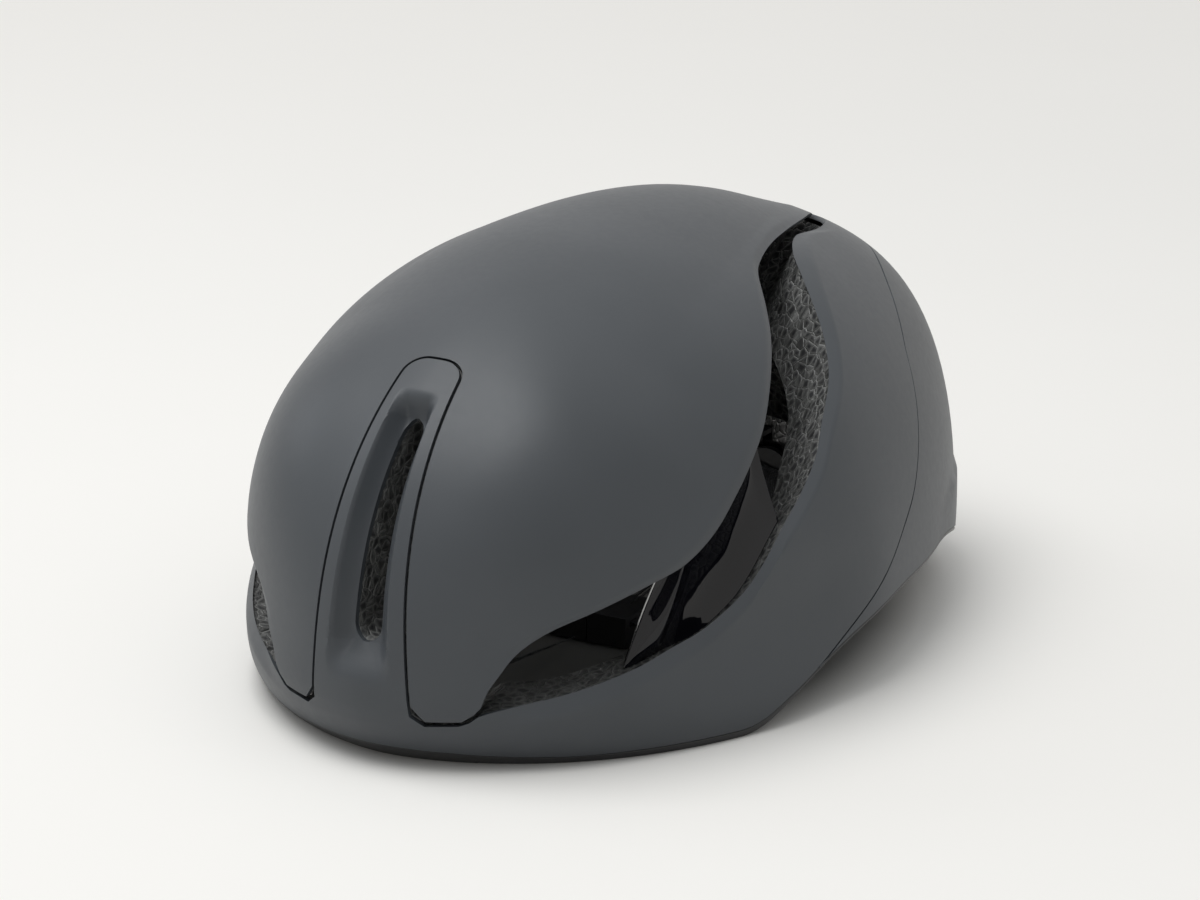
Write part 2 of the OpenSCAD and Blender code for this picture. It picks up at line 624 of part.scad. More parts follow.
// Fit band: a curved arm each side that ends in a rack behind the head
rack_y = centre[1] + rack_back;
rack_reach = 11.5;
rack_bar_h = 3;
rack_mesh = pinion_r + 0.15;
tooth_h = 1;
tooth_pitch = 2.2;
band_end_t = 62;
rack_start = 30;
function band_plan(t) = [arm_eye[0] * cos(t), arm_eye[1] + (rack_y - arm_eye[1]) * sin(t)];
band_line = concat(
    [for (t = [3 : 5 : band_end_t]) band_plan(t)],
    [[rack_start - 3, rack_y - 0.6], [rack_start - 8, rack_y]]);
function side_step(line, i, w) =
    let(a = line[max(0, i - 1)], b = line[min(len(line) - 1, i + 1)], u = unit(b - a))
    line[i] + w * [-u[1], u[0]];
module ribbon(line, t) {
    n = len(line) - 1;
    polygon(concat(
        [for (i = [0 : n]) side_step(line, i, t / 2)],
        [for (i = [n : -1 : 0]) side_step(line, i, -t / 2)]));
}
module rack(up) {
    z = pivot_z + up * (rack_mesh + tooth_h + rack_bar_h / 2);
    translate([-rack_reach, rack_y - band_t / 2, z - rack_bar_h / 2])
        cube([rack_reach + rack_start - 7, band_t, rack_bar_h]);
    for (x = [-rack_reach + 0.4 : tooth_pitch : rack_reach - 1])
        translate([x, rack_y - band_t / 2, up > 0 ? z - rack_bar_h / 2 - tooth_h : z + rack_bar_h / 2 - 0.1])
            cube([tooth_pitch / 2, band_t, tooth_h + 0.1]);
}
module fit_arm(side) {
    color(PLASTIC_BLACK)
    mirror([side < 0 ? 1 : 0, 0, 0])
    difference() {
        union() {
            translate([arm_eye[0], arm_eye[1], pivot_z - link_h / 2 + ear_t + 0.2])
                cylinder(r = arm_eye_r, h = link_h - 2 * ear_t - 0.4, $fn = fine);
            translate([0, 0, pivot_z - link_h / 2 + ear_t + 0.2])
                linear_extrude(link_h - 2 * ear_t - 0.4)
                    ribbon([[arm_eye[0], arm_eye[1]], band_plan(5), band_plan(12)], band_t);
            translate([0, 0, pivot_z - band_h / 2])
                linear_extrude(band_h) ribbon([for (i = [1 : len(band_line) - 3]) band_line[i]], band_t);
            translate([0, 0, pivot_z + (side > 0 ? rack_mesh + tooth_h : -rack_mesh - tooth_h - rack_bar_h)])
                linear_extrude(rack_bar_h)
                    ribbon([for (i = [len(band_line) - 6 : len(band_line) - 1]) band_line[i]], band_t);
            rack(side);
        }
        translate([arm_eye[0], arm_eye[1], pivot_z - link_h])
            cylinder(r = arm_pin_r + pin_play, h = 2 * link_h, $fn = fine);
    }
}
module fit_arm_left() { fit_arm(1); }
module fit_arm_right() { fit_arm(-1); }

// Cradle behind the head
cradle_face = rack_y - 6.6;
cradle_mid = [0, cradle_face - cradle_r];
cradle_low = pivot_z - 23;
cradle_high = pivot_z + 13;
lobe_x = 31;
lobe_r = 16;
lobe_z = pivot_z - 6;
module cradle_outline() {
    difference() {
        union() {
            translate([-lobe_x, lobe_z - 9]) square([2 * lobe_x, 20]);
            translate([-20, cradle_low + 8]) square([40, cradle_high - cradle_low - 8]);
            for (x = [-lobe_x, lobe_x]) translate([x, lobe_z]) circle(r = lobe_r, $fn = fine);
        }
        for (x = [-lobe_x, lobe_x]) translate([x, lobe_z]) circle(r = 6, $fn = fine);
    }
}
module upright(y0, depth) { translate([0, y0 + depth, 0]) rotate([90, 0, 0]) linear_extrude(depth) children(); }
module cradle() {
    color(PLASTIC_BLACK)
    intersection() {
        translate([cradle_mid[0], cradle_mid[1], 0]) difference() {
            cylinder(r = cradle_r, h = 60, $fn = 180);
            translate([0, 0, -1]) cylinder(r = cradle_r - cradle_t, h = 62, $fn = 180);
        }
        upright(cradle_face - 40, 44) cradle_outline();
    }
}

// Dial housing on the cradle: racks pass through it on both sides of the pinion
box_half_w = 21;
box_half_h = 11;
box_wall = 1.3;
box_front = 2 + band_t / 2;
box_back = 2.3 + band_t / 2;
cover_t = 1.5;
shaft_r = 1.6;
knob_t = 7;
cover_y = rack_y + box_back;
module dial_housing() {
    color(PLASTIC_BLACK)
    difference() {
        translate([-box_half_w, cradle_face - 8, pivot_z - box_half_h])
            cube([2 * box_half_w, cover_y - cradle_face + 8 - 0.1, 2 * box_half_h]);
        translate([cradle_mid[0], cradle_mid[1], 0]) cylinder(r = cradle_r + 0.2, h = 80, $fn = 180);
        translate([-box_half_w + box_wall, rack_y - box_front, pivot_z - box_half_h + box_wall])
            cube([2 * (box_half_w - box_wall), box_front + box_back + 1, 2 * (box_half_h - box_wall)]);
        for (side = [-1, 1])
            translate([side > 0 ? 0 : -box_half_w - 1, rack_y - box_front, pivot_z - side * 0.5 + (side > 0 ? 3.4 : -9)])
                cube([box_half_w + 1, box_front + box_back + 1, 6.1]);
    }
}
module dial_cover() {
    color(PLASTIC_BLACK)
    difference() {
        translate([-box_half_w, cover_y, pivot_z - box_half_h])
            cube([2 * box_half_w, cover_t, 2 * box_half_h]);
        translate([0, cover_y - 1, pivot_z]) along_y(shaft_r + pin_play, cover_t + 2);
    }
}
pinion_teeth = 8;
pinion_root = pinion_r - tooth_h;
pinion_root_half = 16;
pinion_tip_half = 9;
pinion_tip = pinion_r - 0.05;
// Outline of the pinion: each tooth narrows from its root to its tip
function polar(r, a) = [r * cos(a), r * sin(a)];
pinion_outline = [
    for (k = [0 : pinion_teeth - 1])
        let(a = (k + 0.5) * 360 / pinion_teeth)
        each [polar(pinion_root, a - pinion_root_half), polar(pinion_tip, a - pinion_tip_half),
            polar(pinion_tip, a + pinion_tip_half), polar(pinion_root, a + pinion_root_half)]
];
module dial_pinion() {
    gear_w = box_front + box_back - 0.4;
    color(PLASTIC_BLACK)
    translate([0, rack_y - box_front + 0.2, pivot_z])
    difference() {
        union() {
            rotate([-90, 0, 0]) linear_extrude(gear_w) polygon(pinion_outline);
            translate([0, gear_w / 2, 0]) along_y(shaft_r, gear_w / 2 + cover_t + 0.5 + knob_t / 2);
        }
        translate([0, knob_y + knob_t - 2.1 - screw_len - rack_y + box_front, 0])
            along_y(screw_r + pin_play, screw_len + knob_t);
    }
}
knob_y = cover_y + cover_t + 0.6;
screw_head_r = 3;
screw_r = 0.85;
screw_len = 3.4;
module dial_knob() {
    grips = 20;
    color(PLASTIC_BLACK)
    translate([0, knob_y, pivot_z])
    difference() {
        along_y(knob_r, knob_t);
        for (k = [0 : grips - 1]) rotate([0, k * 360 / grips, 0])
            translate([knob_r + 0.4, -1, 0]) along_y(1.1, knob_t + 2);
        translate([0, -1, 0]) along_y(shaft_r + 0.02, knob_t / 2 + 1);
        translate([0, knob_t - 2, 0]) along_y(screw_head_r + 0.3, 3);
        along_y(screw_r + pin_play, knob_t);
    }
}
module dial_screw() {
    color(STEEL)
    translate([0, knob_y + knob_t - 2, pivot_z])
    difference() {
        union() {
            along_y(screw_head_r, 1.6);
            translate([0, 0.1 - screw_len, 0]) along_y(screw_r, screw_len);
        }
        translate([-screw_head_r, 0.9, -0.35]) cube([2 * screw_head_r, 1, 0.7]);
        translate([-0.35, 0.9, -screw_head_r]) cube([0.7, 1, 2 * screw_head_r]);
    }
}
module click_ring() {
    color(STEEL)
    translate([0, cover_y + cover_t + 0.05, pivot_z])
    difference() {
        along_y(6, 0.4);
        translate([0, -1, 0]) along_y(shaft_r + 0.3, 3);
    }
}
module nape_pad(side) {
    function place(u, v, t) =
        let(a = side * 24 - 11 * u, r = cradle_r - cradle_t - small_gap - t)
        [cradle_mid[0] + r * sin(a), cradle_mid[1] + r * cos(a), lobe_z + 11 * v];
    function sheet(front) = [
        for (i = [0 : 8])
            let(u = i / 4 - 1)
            [for (j = [0 : pad_rows])
                let(v = 2 * j / pad_rows - 1)
                place(draw_in(u, v, across_draw), draw_in(v, u, across_draw), front ? 4 * pad_crown(u, v) : 0)]
    ];
    color(PAD_BLACK) wall(sheet(false), sheet(true), function(i, j) true);
}
module nape_pad_left() { nape_pad(1); }
module nape_pad_right() { nape_pad(-1); }

// Strap anchors: small plates on the foam's inner face
anchor_w = 18;
anchor_h = 9;
anchor_plate_t = 2;
front_anchor = [-52, 20];
rear_anchor = [58, 36];
anchor_inset = 0.9;
function wall_angle(at) =
    let(reach = at[0] < 0 ? head_front : head_rear, x = head_half(at[0], at[1] - widest_z))
    atan2(at[0] / (reach * reach), 4 * x / (head_w * head_w));
function wall_at(at, inset) =
    let(a = wall_angle(at))
    [head_half(at[0], at[1] - widest_z) - inset * cos(a), centre[1] + at[0] - inset * sin(a), at[1]];
module strap_anchors(at) {
    color(PLASTIC_BLACK)
    for (side = [-1, 1])
        mirror([side < 0 ? 1 : 0, 0, 0])
        translate(wall_at(at, anchor_inset)) rotate([0, 0, wall_angle(at)])
            translate([-anchor_plate_t, -anchor_w / 2, -anchor_h / 2])
                cube([anchor_plate_t, anchor_w, anchor_h]);
}
module strap_anchors_front() { strap_anchors(front_anchor); }
module strap_anchors_rear() { strap_anchors(rear_anchor); }

// Webbing: a flat strip swept along hand-set points, each with the way its width points
module webbing(line, side) {
    n = len(line) - 1;
    function ring(i) =
        let(a = line[max(0, i - 1)][0], b = line[min(n, i + 1)][0], run = unit(b - a))
        let(across = unit(line[i][1] - (line[i][1] * run) * run), up = cross(run, across))
        [for (c = [[-1, -1], [1, -1], [1, 1], [-1, 1]])
            let(p = line[i][0] + c[0] * web_w / 2 * across + c[1] * web_t / 2 * up)
            [side * p[0], p[1], p[2]]];
    points = [for (i = [0 : n]) each ring(i)];
    sides = [
        for (i = [0 : n - 1], k = [0 : 3])
            let(a = 4 * i + k, b = 4 * i + (k + 1) % 4)
            each [[a, b, b + 4], [a, b + 4, a + 4]]
    ];
    ends = [[0, 2, 1], [0, 3, 2], [4 * n, 4 * n + 1, 4 * n + 2], [4 * n, 4 * n + 2, 4 * n + 3]];
    faces = concat(sides, ends);
    color(WEB_BLACK)
    polyhedron(points, side < 0 ? faces : [for (f = faces) [f[2], f[1], f[0]]], convexity = 4);
}
strap_inset = anchor_inset + anchor_plate_t + 0.3 + web_t / 2;
front_top = wall_at(front_anchor, strap_inset);
rear_top = wall_at(rear_anchor, strap_inset);
front_across = [-sin(wall_angle(front_anchor)), cos(wall_angle(front_anchor)), 0];
rear_across = [-sin(wall_angle(rear_anchor)), cos(wall_angle(rear_anchor)), 0];
front_web = [
    [front_top + [0, 0, anchor_h / 2], front_across], [front_top - [0, 0, anchor_h / 2 - 1], front_across],
    [front_top + [-0.5, 1, -7], [0.1, 1, 0]], [front_top + [-1.4, 3, -11.5], [-0.2, 1, 0.2]],
    [front_top + [-2.6, 7, -14.6], [-0.85, 0.35, 0.1]], [[60, -37, 2.4], [-1, -0.1, 0]],
    [[57.5, -28, 1.5], [-1, 0, 0]], [[55, -19, 1.5], [-1, 0, 0]], [[53.5, -13, 2.2], [-1, 0, 0]],
    [[53, -9, 3], [-1, 0, 0]], [[53, -4, 3], [-1, 0, 0]]
];
rear_web = [
    [rear_top + [0, 0, anchor_h / 2], rear_across], [rear_top - [0, 0, anchor_h / 2 - 1], rear_across],
    [rear_top + [-0.6, -1, -12], rear_across], [rear_top + [-1, -3, -21], [-0.6, 1, 0]],
    [rear_top + [-1, -7, -28.5], [-0.8, 0.5, 0.1]], [[57, 43, 2.6], [-1, 0.2, 0]],
    [[56.3, 36, 1.5], [-1, 0, 0]], [[55, 27, 1.5], [-1, 0, 0]], [[53.5, 21, 2.2], [-1, 0, 0]],
    [[53, 17, 3], [-1, 0, 0]], [[53, 12, 3], [-1, 0, 0]]
];
chin_z = 7.9;
socket_strap_z = 5;
chin_web = [
    [[44.6, 4, 3], [0, 1, 0]], [[41, 4, 3.2], [0, 1, 0]], [[38.5, 2.6, 5], [0, 1, 0]],
    [[36, 1, 7.1], [0, 1, 0]], [[33.5, 0.2, chin_z], [0, 1, 0]], [[31.5, 0, chin_z], [0, 1, 0]],
    [[8, 0, chin_z], [0, 1, 0]]
];
socket_web = [
    [[44.6, 4, 3], [0, 1, 0]], [[41, 4, 3.1], [0, 1, 0]], [[36, 3, 3.6], [0, 1, 0]],
    [[30, 1.2, 4.6], [0, 1, 0]], [[24, 0.1, socket_strap_z], [0, 1, 0]],
    [[20, 0, socket_strap_z], [0, 1, 0]], [[14.6, 0, socket_strap_z], [0, 1, 0]]
];
module front_strap_left() { webbing(front_web, 1); }
module front_strap_right() { webbing(front_web, -1); }
module rear_strap_left() { webbing(rear_web, 1); }
module rear_strap_right() { webbing(rear_web, -1); }
module chin_strap_left() { webbing(chin_web, 1); }
module chin_strap_right() { webbing(socket_web, -1); }

// Strap divider under each ear, with a locking lever that hinges on its outer edge
divider_x = 42;
divider_w = 22;
divider_y = -7.6;
divider_l = 23.2;
divider_t = 5;
lever_t = 2;
lever_pin_r = 1.2;
lever_x = divider_x + divider_w - 2.4;
lever_z = divider_t + 0.5 + 2;
ear_w = 2;
pocket = 4;
module strap_divider(side) {
    color(PLASTIC_BLACK)
    mirror([side < 0 ? 1 : 0, 0, 0])
    difference() {
        union() {
            translate([divider_x, divider_y, 0.5]) cube([divider_w, divider_l, divider_t]);
            for (y = [divider_y, divider_y + divider_l - ear_w])
                translate([lever_x, y, lever_z]) along_y(2.2, ear_w);
            for (y = [divider_y, divider_y + divider_l - ear_w])
                translate([lever_x - 2.2, y, divider_t]) cube([4.4, ear_w, lever_z - divider_t]);
        }
        for (y = [divider_y - 1, divider_y + divider_l - pocket])
            translate([53 - web_w / 2 - 0.4, y, 3 - web_t / 2 - 0.4])
                cube([web_w + 0.8, pocket + 1, web_t + 0.8]);
        translate([divider_x - 1, 4 - web_w / 2 - 0.4, 3 - web_t / 2 - 0.4])
            cube([3.9, web_w + 0.8, web_t + 0.8]);
        translate([lever_x, divider_y - 1, lever_z]) along_y(lever_pin_r + pin_play, divider_l + 2);
    }
}
module divider_lever(side) {
    inner = divider_l - 2 * ear_w - 0.6;
    color(PLASTIC_BLACK)
    mirror([side < 0 ? 1 : 0, 0, 0])
    translate([0, divider_y + ear_w + 0.3, 0])
    union() {
        translate([divider_x + 1, 0, lever_z - lever_t / 2]) cube([lever_x - divider_x - 1, inner, lever_t]);
        translate([lever_x, 0, lever_z]) along_y(1.9, inner);
        translate([lever_x, -ear_w, lever_z]) along_y(lever_pin_r, inner + 2 * ear_w);
    }
}
module strap_divider_left() { strap_divider(1); }
module strap_divider_right() { strap_divider(-1); }
module divider_lever_left() { divider_lever(1); }
module divider_lever_right() { divider_lever(-1); }

// Chin buckle: a magnetic plug that slides out of a socket and along its strap
socket_x = -16;
socket_l = 20;
socket_h = 8;
buckle_z = 0.5;
buckle_h = 10;
tongue_w = 15;
tongue_z = 3;
tongue_t = 3;
tongue_l = 11;
tongue_play = 0.3;
plug_x = socket_x + socket_l + 0.4;
plug_l = 14;
magnet_r = 2;
magnet_t = 1.4;
module buckle_socket() {
    color(PLASTIC_BLACK)
    difference() {
        translate([socket_x, -buckle_w / 2, buckle_z]) cube([socket_l, buckle_w, socket_h]);
        translate([plug_x - tongue_l - tongue_play, -tongue_w / 2 - tongue_play, tongue_z - tongue_play])
            cube([socket_l, tongue_w + 2 * tongue_play, tongue_t + 2 * tongue_play]);
        translate([socket_x - 1, -web_w / 2 - 0.5, socket_strap_z - web_t / 2 - 0.4])
            cube([3, web_w + 1, web_t + 0.8]);
        translate([plug_x - tongue_l - tongue_play - magnet_t - 0.8, 0, tongue_z + tongue_t / 2])
            along_x(magnet_r + pin_play, magnet_t + 1);
    }
}
module buckle_plug() {
    color(PLASTIC_BLACK)
    difference() {
        union() {
            translate([plug_x - tongue_l, -tongue_w / 2, tongue_z]) cube([tongue_l + 1, tongue_w, tongue_t]);
            translate([plug_x, -buckle_w / 2, buckle_z]) cube([plug_l, buckle_w, buckle_h]);
        }
        translate([plug_x - 1, -web_w / 2 - 0.5, chin_z - web_t / 2 - 0.4])
            cube([plug_l + 2, web_w + 1, web_t + 0.8]);
        translate([plug_x - tongue_l - 1, 0, tongue_z + tongue_t / 2])
            along_x(plug_magnet_r + pin_play, magnet_t + 1);
    }
}
plug_magnet_r = 1.1;
module socket_magnet() {
    color(STEEL)
    translate([plug_x - tongue_l - tongue_play - magnet_t - 0.7, 0, tongue_z + tongue_t / 2])
        along_x(magnet_r, magnet_t);
}
module plug_magnet() {
    color(STEEL)
    translate([plug_x - tongue_l + 0.05, 0, tongue_z + tongue_t / 2]) along_x(plug_magnet_r, magnet_t - 0.1);
}

top_shell();
lower_shell();
rear_shell();
rim_trim();
crown_foam();
base_foam();
vent_bridge_left();
vent_bridge_right();
brow_pad();
crown_pad_left();
crown_pad_right();
side_pad_left();
side_pad_right();
pad_fasteners();
temple_anchor_left();
temple_anchor_right();
temple_link_left();
temple_link_right();
arm_pins();
fit_arm_left();
fit_arm_right();
cradle();
dial_housing();
dial_cover();
dial_pinion();
dial_knob();
dial_screw();
click_ring();
nape_pad_left();
nape_pad_right();
strap_anchors_front();
strap_anchors_rear();
front_strap_left();
front_strap_right();
rear_strap_left();
rear_strap_right();
strap_divider_left();
strap_divider_right();
divider_lever_left();
divider_lever_right();
chin_strap_left();
chin_strap_right();
buckle_socket();
buckle_plug();
socket_magnet();
plug_magnet();
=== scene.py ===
"""Road bike helmet with a closed crown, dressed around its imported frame.

The helmet faces -Y, +Z is up and +X is the wearer's left. Shapes are worked out in millimetres,
from the same driving sizes as the part has, and become metres when a mesh is made.
"""

import json
import logging
import math
from dataclasses import dataclass, field
from enum import Enum
from typing import Callable, Optional, Sequence

import bmesh
import bpy
import numpy as np
from mathutils import Matrix, Vector

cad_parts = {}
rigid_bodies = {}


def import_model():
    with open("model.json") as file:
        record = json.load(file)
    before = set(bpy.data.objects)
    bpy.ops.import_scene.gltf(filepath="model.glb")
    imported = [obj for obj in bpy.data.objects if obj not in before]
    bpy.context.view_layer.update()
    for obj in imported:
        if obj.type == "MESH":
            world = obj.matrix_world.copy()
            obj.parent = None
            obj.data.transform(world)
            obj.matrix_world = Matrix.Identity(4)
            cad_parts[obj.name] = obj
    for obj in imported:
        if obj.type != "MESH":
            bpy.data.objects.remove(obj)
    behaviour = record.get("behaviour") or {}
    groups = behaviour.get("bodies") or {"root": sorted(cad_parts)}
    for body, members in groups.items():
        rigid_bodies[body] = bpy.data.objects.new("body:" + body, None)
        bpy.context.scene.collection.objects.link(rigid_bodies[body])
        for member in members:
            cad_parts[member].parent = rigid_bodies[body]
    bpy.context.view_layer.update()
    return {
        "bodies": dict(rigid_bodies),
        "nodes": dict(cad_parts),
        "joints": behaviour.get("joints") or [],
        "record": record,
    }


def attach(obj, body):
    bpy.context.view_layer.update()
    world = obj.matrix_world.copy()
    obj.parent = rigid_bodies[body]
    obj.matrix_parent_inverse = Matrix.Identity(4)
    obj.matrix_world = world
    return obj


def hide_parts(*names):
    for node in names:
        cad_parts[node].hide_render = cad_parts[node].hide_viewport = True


LOG = logging.getLogger("helmet")
MM = 0.001
FAR_MM = 99.0
LOW_LIFT = -10.0
CORRECTIONS = 8
NEAR_TAIL = 179.9
EDGE = 1e-6
Array = np.ndarray
Knots = Sequence[tuple[float, float]]


class Side(Enum):
    """Which side of the helmet a piece is on, as the wearer has it."""

    LEFT = 1
    RIGHT = -1


# General shaping functions


def ease(v: Array | float) -> Array:
    """Smooth step from 0 to 1."""
    c = np.clip(v, 0.0, 1.0)
    return c * c * (3 - 2 * c)


def mix(a: Array | float, b: Array | float, t: Array | float) -> Array | float:
    """Straight blend from a to b."""
    return a + (b - a) * t


def bell(v: Array | float) -> Array:
    """Smooth bump that is 1 at 0 and falls to 0 at -1 and 1."""
    return (1 - np.clip(v, -1.0, 1.0) ** 2) ** 2


def window(v: Array | float, start: float, rise: float, end: float, fall: float) -> Array:
    """Smooth window: it grows from 0 to 1 over a rise past start, and falls to 0 over a fall past end."""
    return ease((v - start) / rise) * (1 - ease((v - end) / fall))


def spanned(angle: Array | float, radius: float) -> Array | float:
    """Length that an angle in degrees spans at a radius."""
    return angle * math.pi / 180 * radius


def follow(knots: Knots, v: Array | float) -> Array:
    """Smooth curve through given knots.

    Args:
        knots: places and values, places rising.
        v: places to read the curve at.

    Returns:
        The curve's values there.
    """
    x = np.array([k[0] for k in knots], float)
    y = np.array([k[1] for k in knots], float)
    n = len(x)
    lo, hi = np.maximum(np.arange(n) - 1, 0), np.minimum(np.arange(n) + 1, n - 1)
    slope = (y[hi] - y[lo]) / (x[hi] - x[lo])
    v = np.asarray(v, float)
    i = np.clip(np.searchsorted(x, v, side="right") - 1, 0, n - 2)
    h = x[i + 1] - x[i]
    t = np.clip((v - x[i]) / h, 0, 1)
    a, b, m, k = y[i], y[i + 1], slope[i] * h, slope[i + 1] * h
    return a + t * (m + t * (3 * (b - a) - 2 * m - k + t * (m + k - 2 * (b - a))))


def round_way(turn: Array | float, lift: Array | float) -> Array:
    """Directions from the middle: turn goes round from the front to +X, and lift goes up."""
    t, f = np.radians(turn), np.radians(lift)
    return np.stack(np.broadcast_arrays(np.cos(f) * np.sin(t), -np.cos(f) * np.cos(t), np.sin(f)), -1)


def over_way(pitch: Array | float, lean: Array | float) -> Array:
    """Directions over the top: pitch goes from the front over the crown, lean goes to +X."""
    p, n = np.radians(pitch), np.radians(lean)
    return np.stack(np.broadcast_arrays(np.sin(n), -np.cos(n) * np.cos(p), np.cos(n) * np.sin(p)), -1)


def unit(v: Array) -> Array:
    """Vectors of length one."""
    return v / np.maximum(np.linalg.norm(v, axis=-1, keepdims=True), 1e-9)


def superellipsoid(
    d: Array, half: float, reach: Array, rise: Array, plan_n: float, section_n: Array | float
) -> Array:
    """Distance from the middle to a superellipsoid along each direction."""
    plan = np.abs(d[..., 0] / half) ** plan_n + np.abs(d[..., 1] / reach) ** plan_n
    return (plan ** (section_n / plan_n) + np.abs(d[..., 2] / rise) ** section_n) ** (-1 / section_n)


# Form of the helmet


@dataclass(frozen=True)
class OuterForm:
    """Outer surface, in millimetres."""

    width: float = 204
    front_reach: float = 144
    tail_reach: float = 142.8
    tail_curve: float = 177
    widest_z: float = 27
    crown_rise: float = 108
    plan_n: float = 1.79
    side_n: float = 2.41
    cross_n: float = 2.2
    front_tuck: float = 48
    side_tuck: float = 94
    tail_n: float = 21
    hump_h: float = 3.75
    hump_w: float = 52
    hump_sharpness: float = 1.05
    hump_from: float = -60
    hump_length: float = 200
    hump_taper: float = 1.6
    hump_least_w: float = 8
    hump_up: tuple[float, float] = (0.1, 0.5)
    hump_run: Knots = (
        (-100, 0), (-60, 0.27), (-20, 0.73), (20, 1), (50, 0.85), (75, 0.27), (95, -0.25), (115, -0.43),
    )
    brow_swell: float = 5.8
    rear_swell: float = 2.6
    swell_x: float = 46
    swell_half_w: float = 34
    swell_pitches: tuple[float, float] = (30, 150)
    swell_half_pitch: float = 26
    cheek_sink: float = 4
    cheek_turn: float = 60
    cheek_half_turn: float = 35
    cheek_lift: float = 3
    cheek_half_lift: float = 16
    bumper_lip: float = 1.2
    bumper_from: float = 60
    bumper_run: float = 30
    bumper_z: float = 40
    bumper_edge: float = 0.8

    @property
    def centre(self) -> Array:
        """Middle of the radial layout."""
        return np.array([0.0, (self.front_reach - self.tail_reach - self.bumper_lip) / 2, self.widest_z])

    def hump(self, p: Array, up: Array) -> Array:
        """Height of the teardrop along the crown, at places given from the middle."""
        along = np.clip((p[..., 1] - self.hump_from) / self.hump_length, 0, 1)
        half = np.maximum(self.hump_least_w, self.hump_w * (1 - along**self.hump_taper))
        t = np.clip(np.abs(p[..., 0]) / half, 0, 1)
        height = self.hump_h * follow(self.hump_run, p[..., 1])
        start, rise = self.hump_up
        return height * (1 - t * t) ** self.hump_sharpness * ease((up - start) / rise)

    def swell(self, d: Array, r: Array) -> Array:
        """Swellings beside the crown, in front and behind."""
        pitch = np.degrees(np.arctan2(d[..., 2], -d[..., 1]))
        beside = bell((np.abs(d[..., 0] * r) - self.swell_x) / self.swell_half_w)
        front, back = (bell((pitch - middle) / self.swell_half_pitch) for middle in self.swell_pitches)
        return beside * (self.brow_swell * front + self.rear_swell * back)

    def cheek(self, d: Array) -> Array:
        """Hollow of the cheeks under the side vents."""
        turn = np.degrees(np.arctan2(d[..., 0], -d[..., 1]))
        lift = np.degrees(np.arcsin(np.clip(d[..., 2], -1, 1)))
        around = bell((np.abs(turn) - self.cheek_turn) / self.cheek_half_turn)
        upward = bell((lift - self.cheek_lift) / self.cheek_half_lift)
        return self.cheek_sink * around * upward

    def radius(self, d: Array) -> Array:
        """Distance from the middle to the skin along each direction."""
        share = d[..., 0] ** 2 / np.maximum(1e-9, d[..., 0] ** 2 + d[..., 1] ** 2)
        reach = np.where(d[..., 1] < 0, self.front_reach, self.tail_curve)
        above = d[..., 2] >= 0
        rise = np.where(above, self.crown_rise, mix(self.front_tuck, self.side_tuck, share))
        section = np.where(above, mix(self.side_n, self.cross_n, share), self.side_n)
        full = superellipsoid(d, self.width / 2, reach, rise, self.plan_n, section)
        plane = (self.tail_reach**-self.tail_n - self.tail_curve**-self.tail_n) ** (-1 / self.tail_n)
        back = np.maximum(d[..., 1], 0) / plane
        cut = (full**-self.tail_n + back**self.tail_n) ** (-1 / self.tail_n)
        p = d * cut[..., None]
        below = ease((self.bumper_z - self.widest_z - p[..., 2]) / self.bumper_edge)
        lip = self.bumper_lip * ease((p[..., 1] - self.bumper_from) / self.bumper_run) * below
        return cut + self.hump(p, d[..., 2]) + self.swell(d, cut) + lip - self.cheek(d)

    def skin(self, d: Array, drop: Array | float = 0.0) -> Array:
        """Points at a depth under the skin along each direction."""
        return self.centre + (self.radius(d) - drop)[..., None] * d

    def arc(self, mm: Array | float) -> Array | float:
        """Angle that a length spans at the front's reach."""
        return mm / self.front_reach * 180 / math.pi

    def lift_at(self, turn: Array, z: Array, drop: float = 0.0) -> Array:
        """Lift at which the surface passes a height."""
        lift = np.full(np.shape(turn), LOW_LIFT)
        for _ in range(CORRECTIONS):
            r = self.radius(round_way(turn, lift)) - drop
            lift = np.degrees(np.arcsin(np.clip((z - self.widest_z) / r, -1, 1)))
        return lift


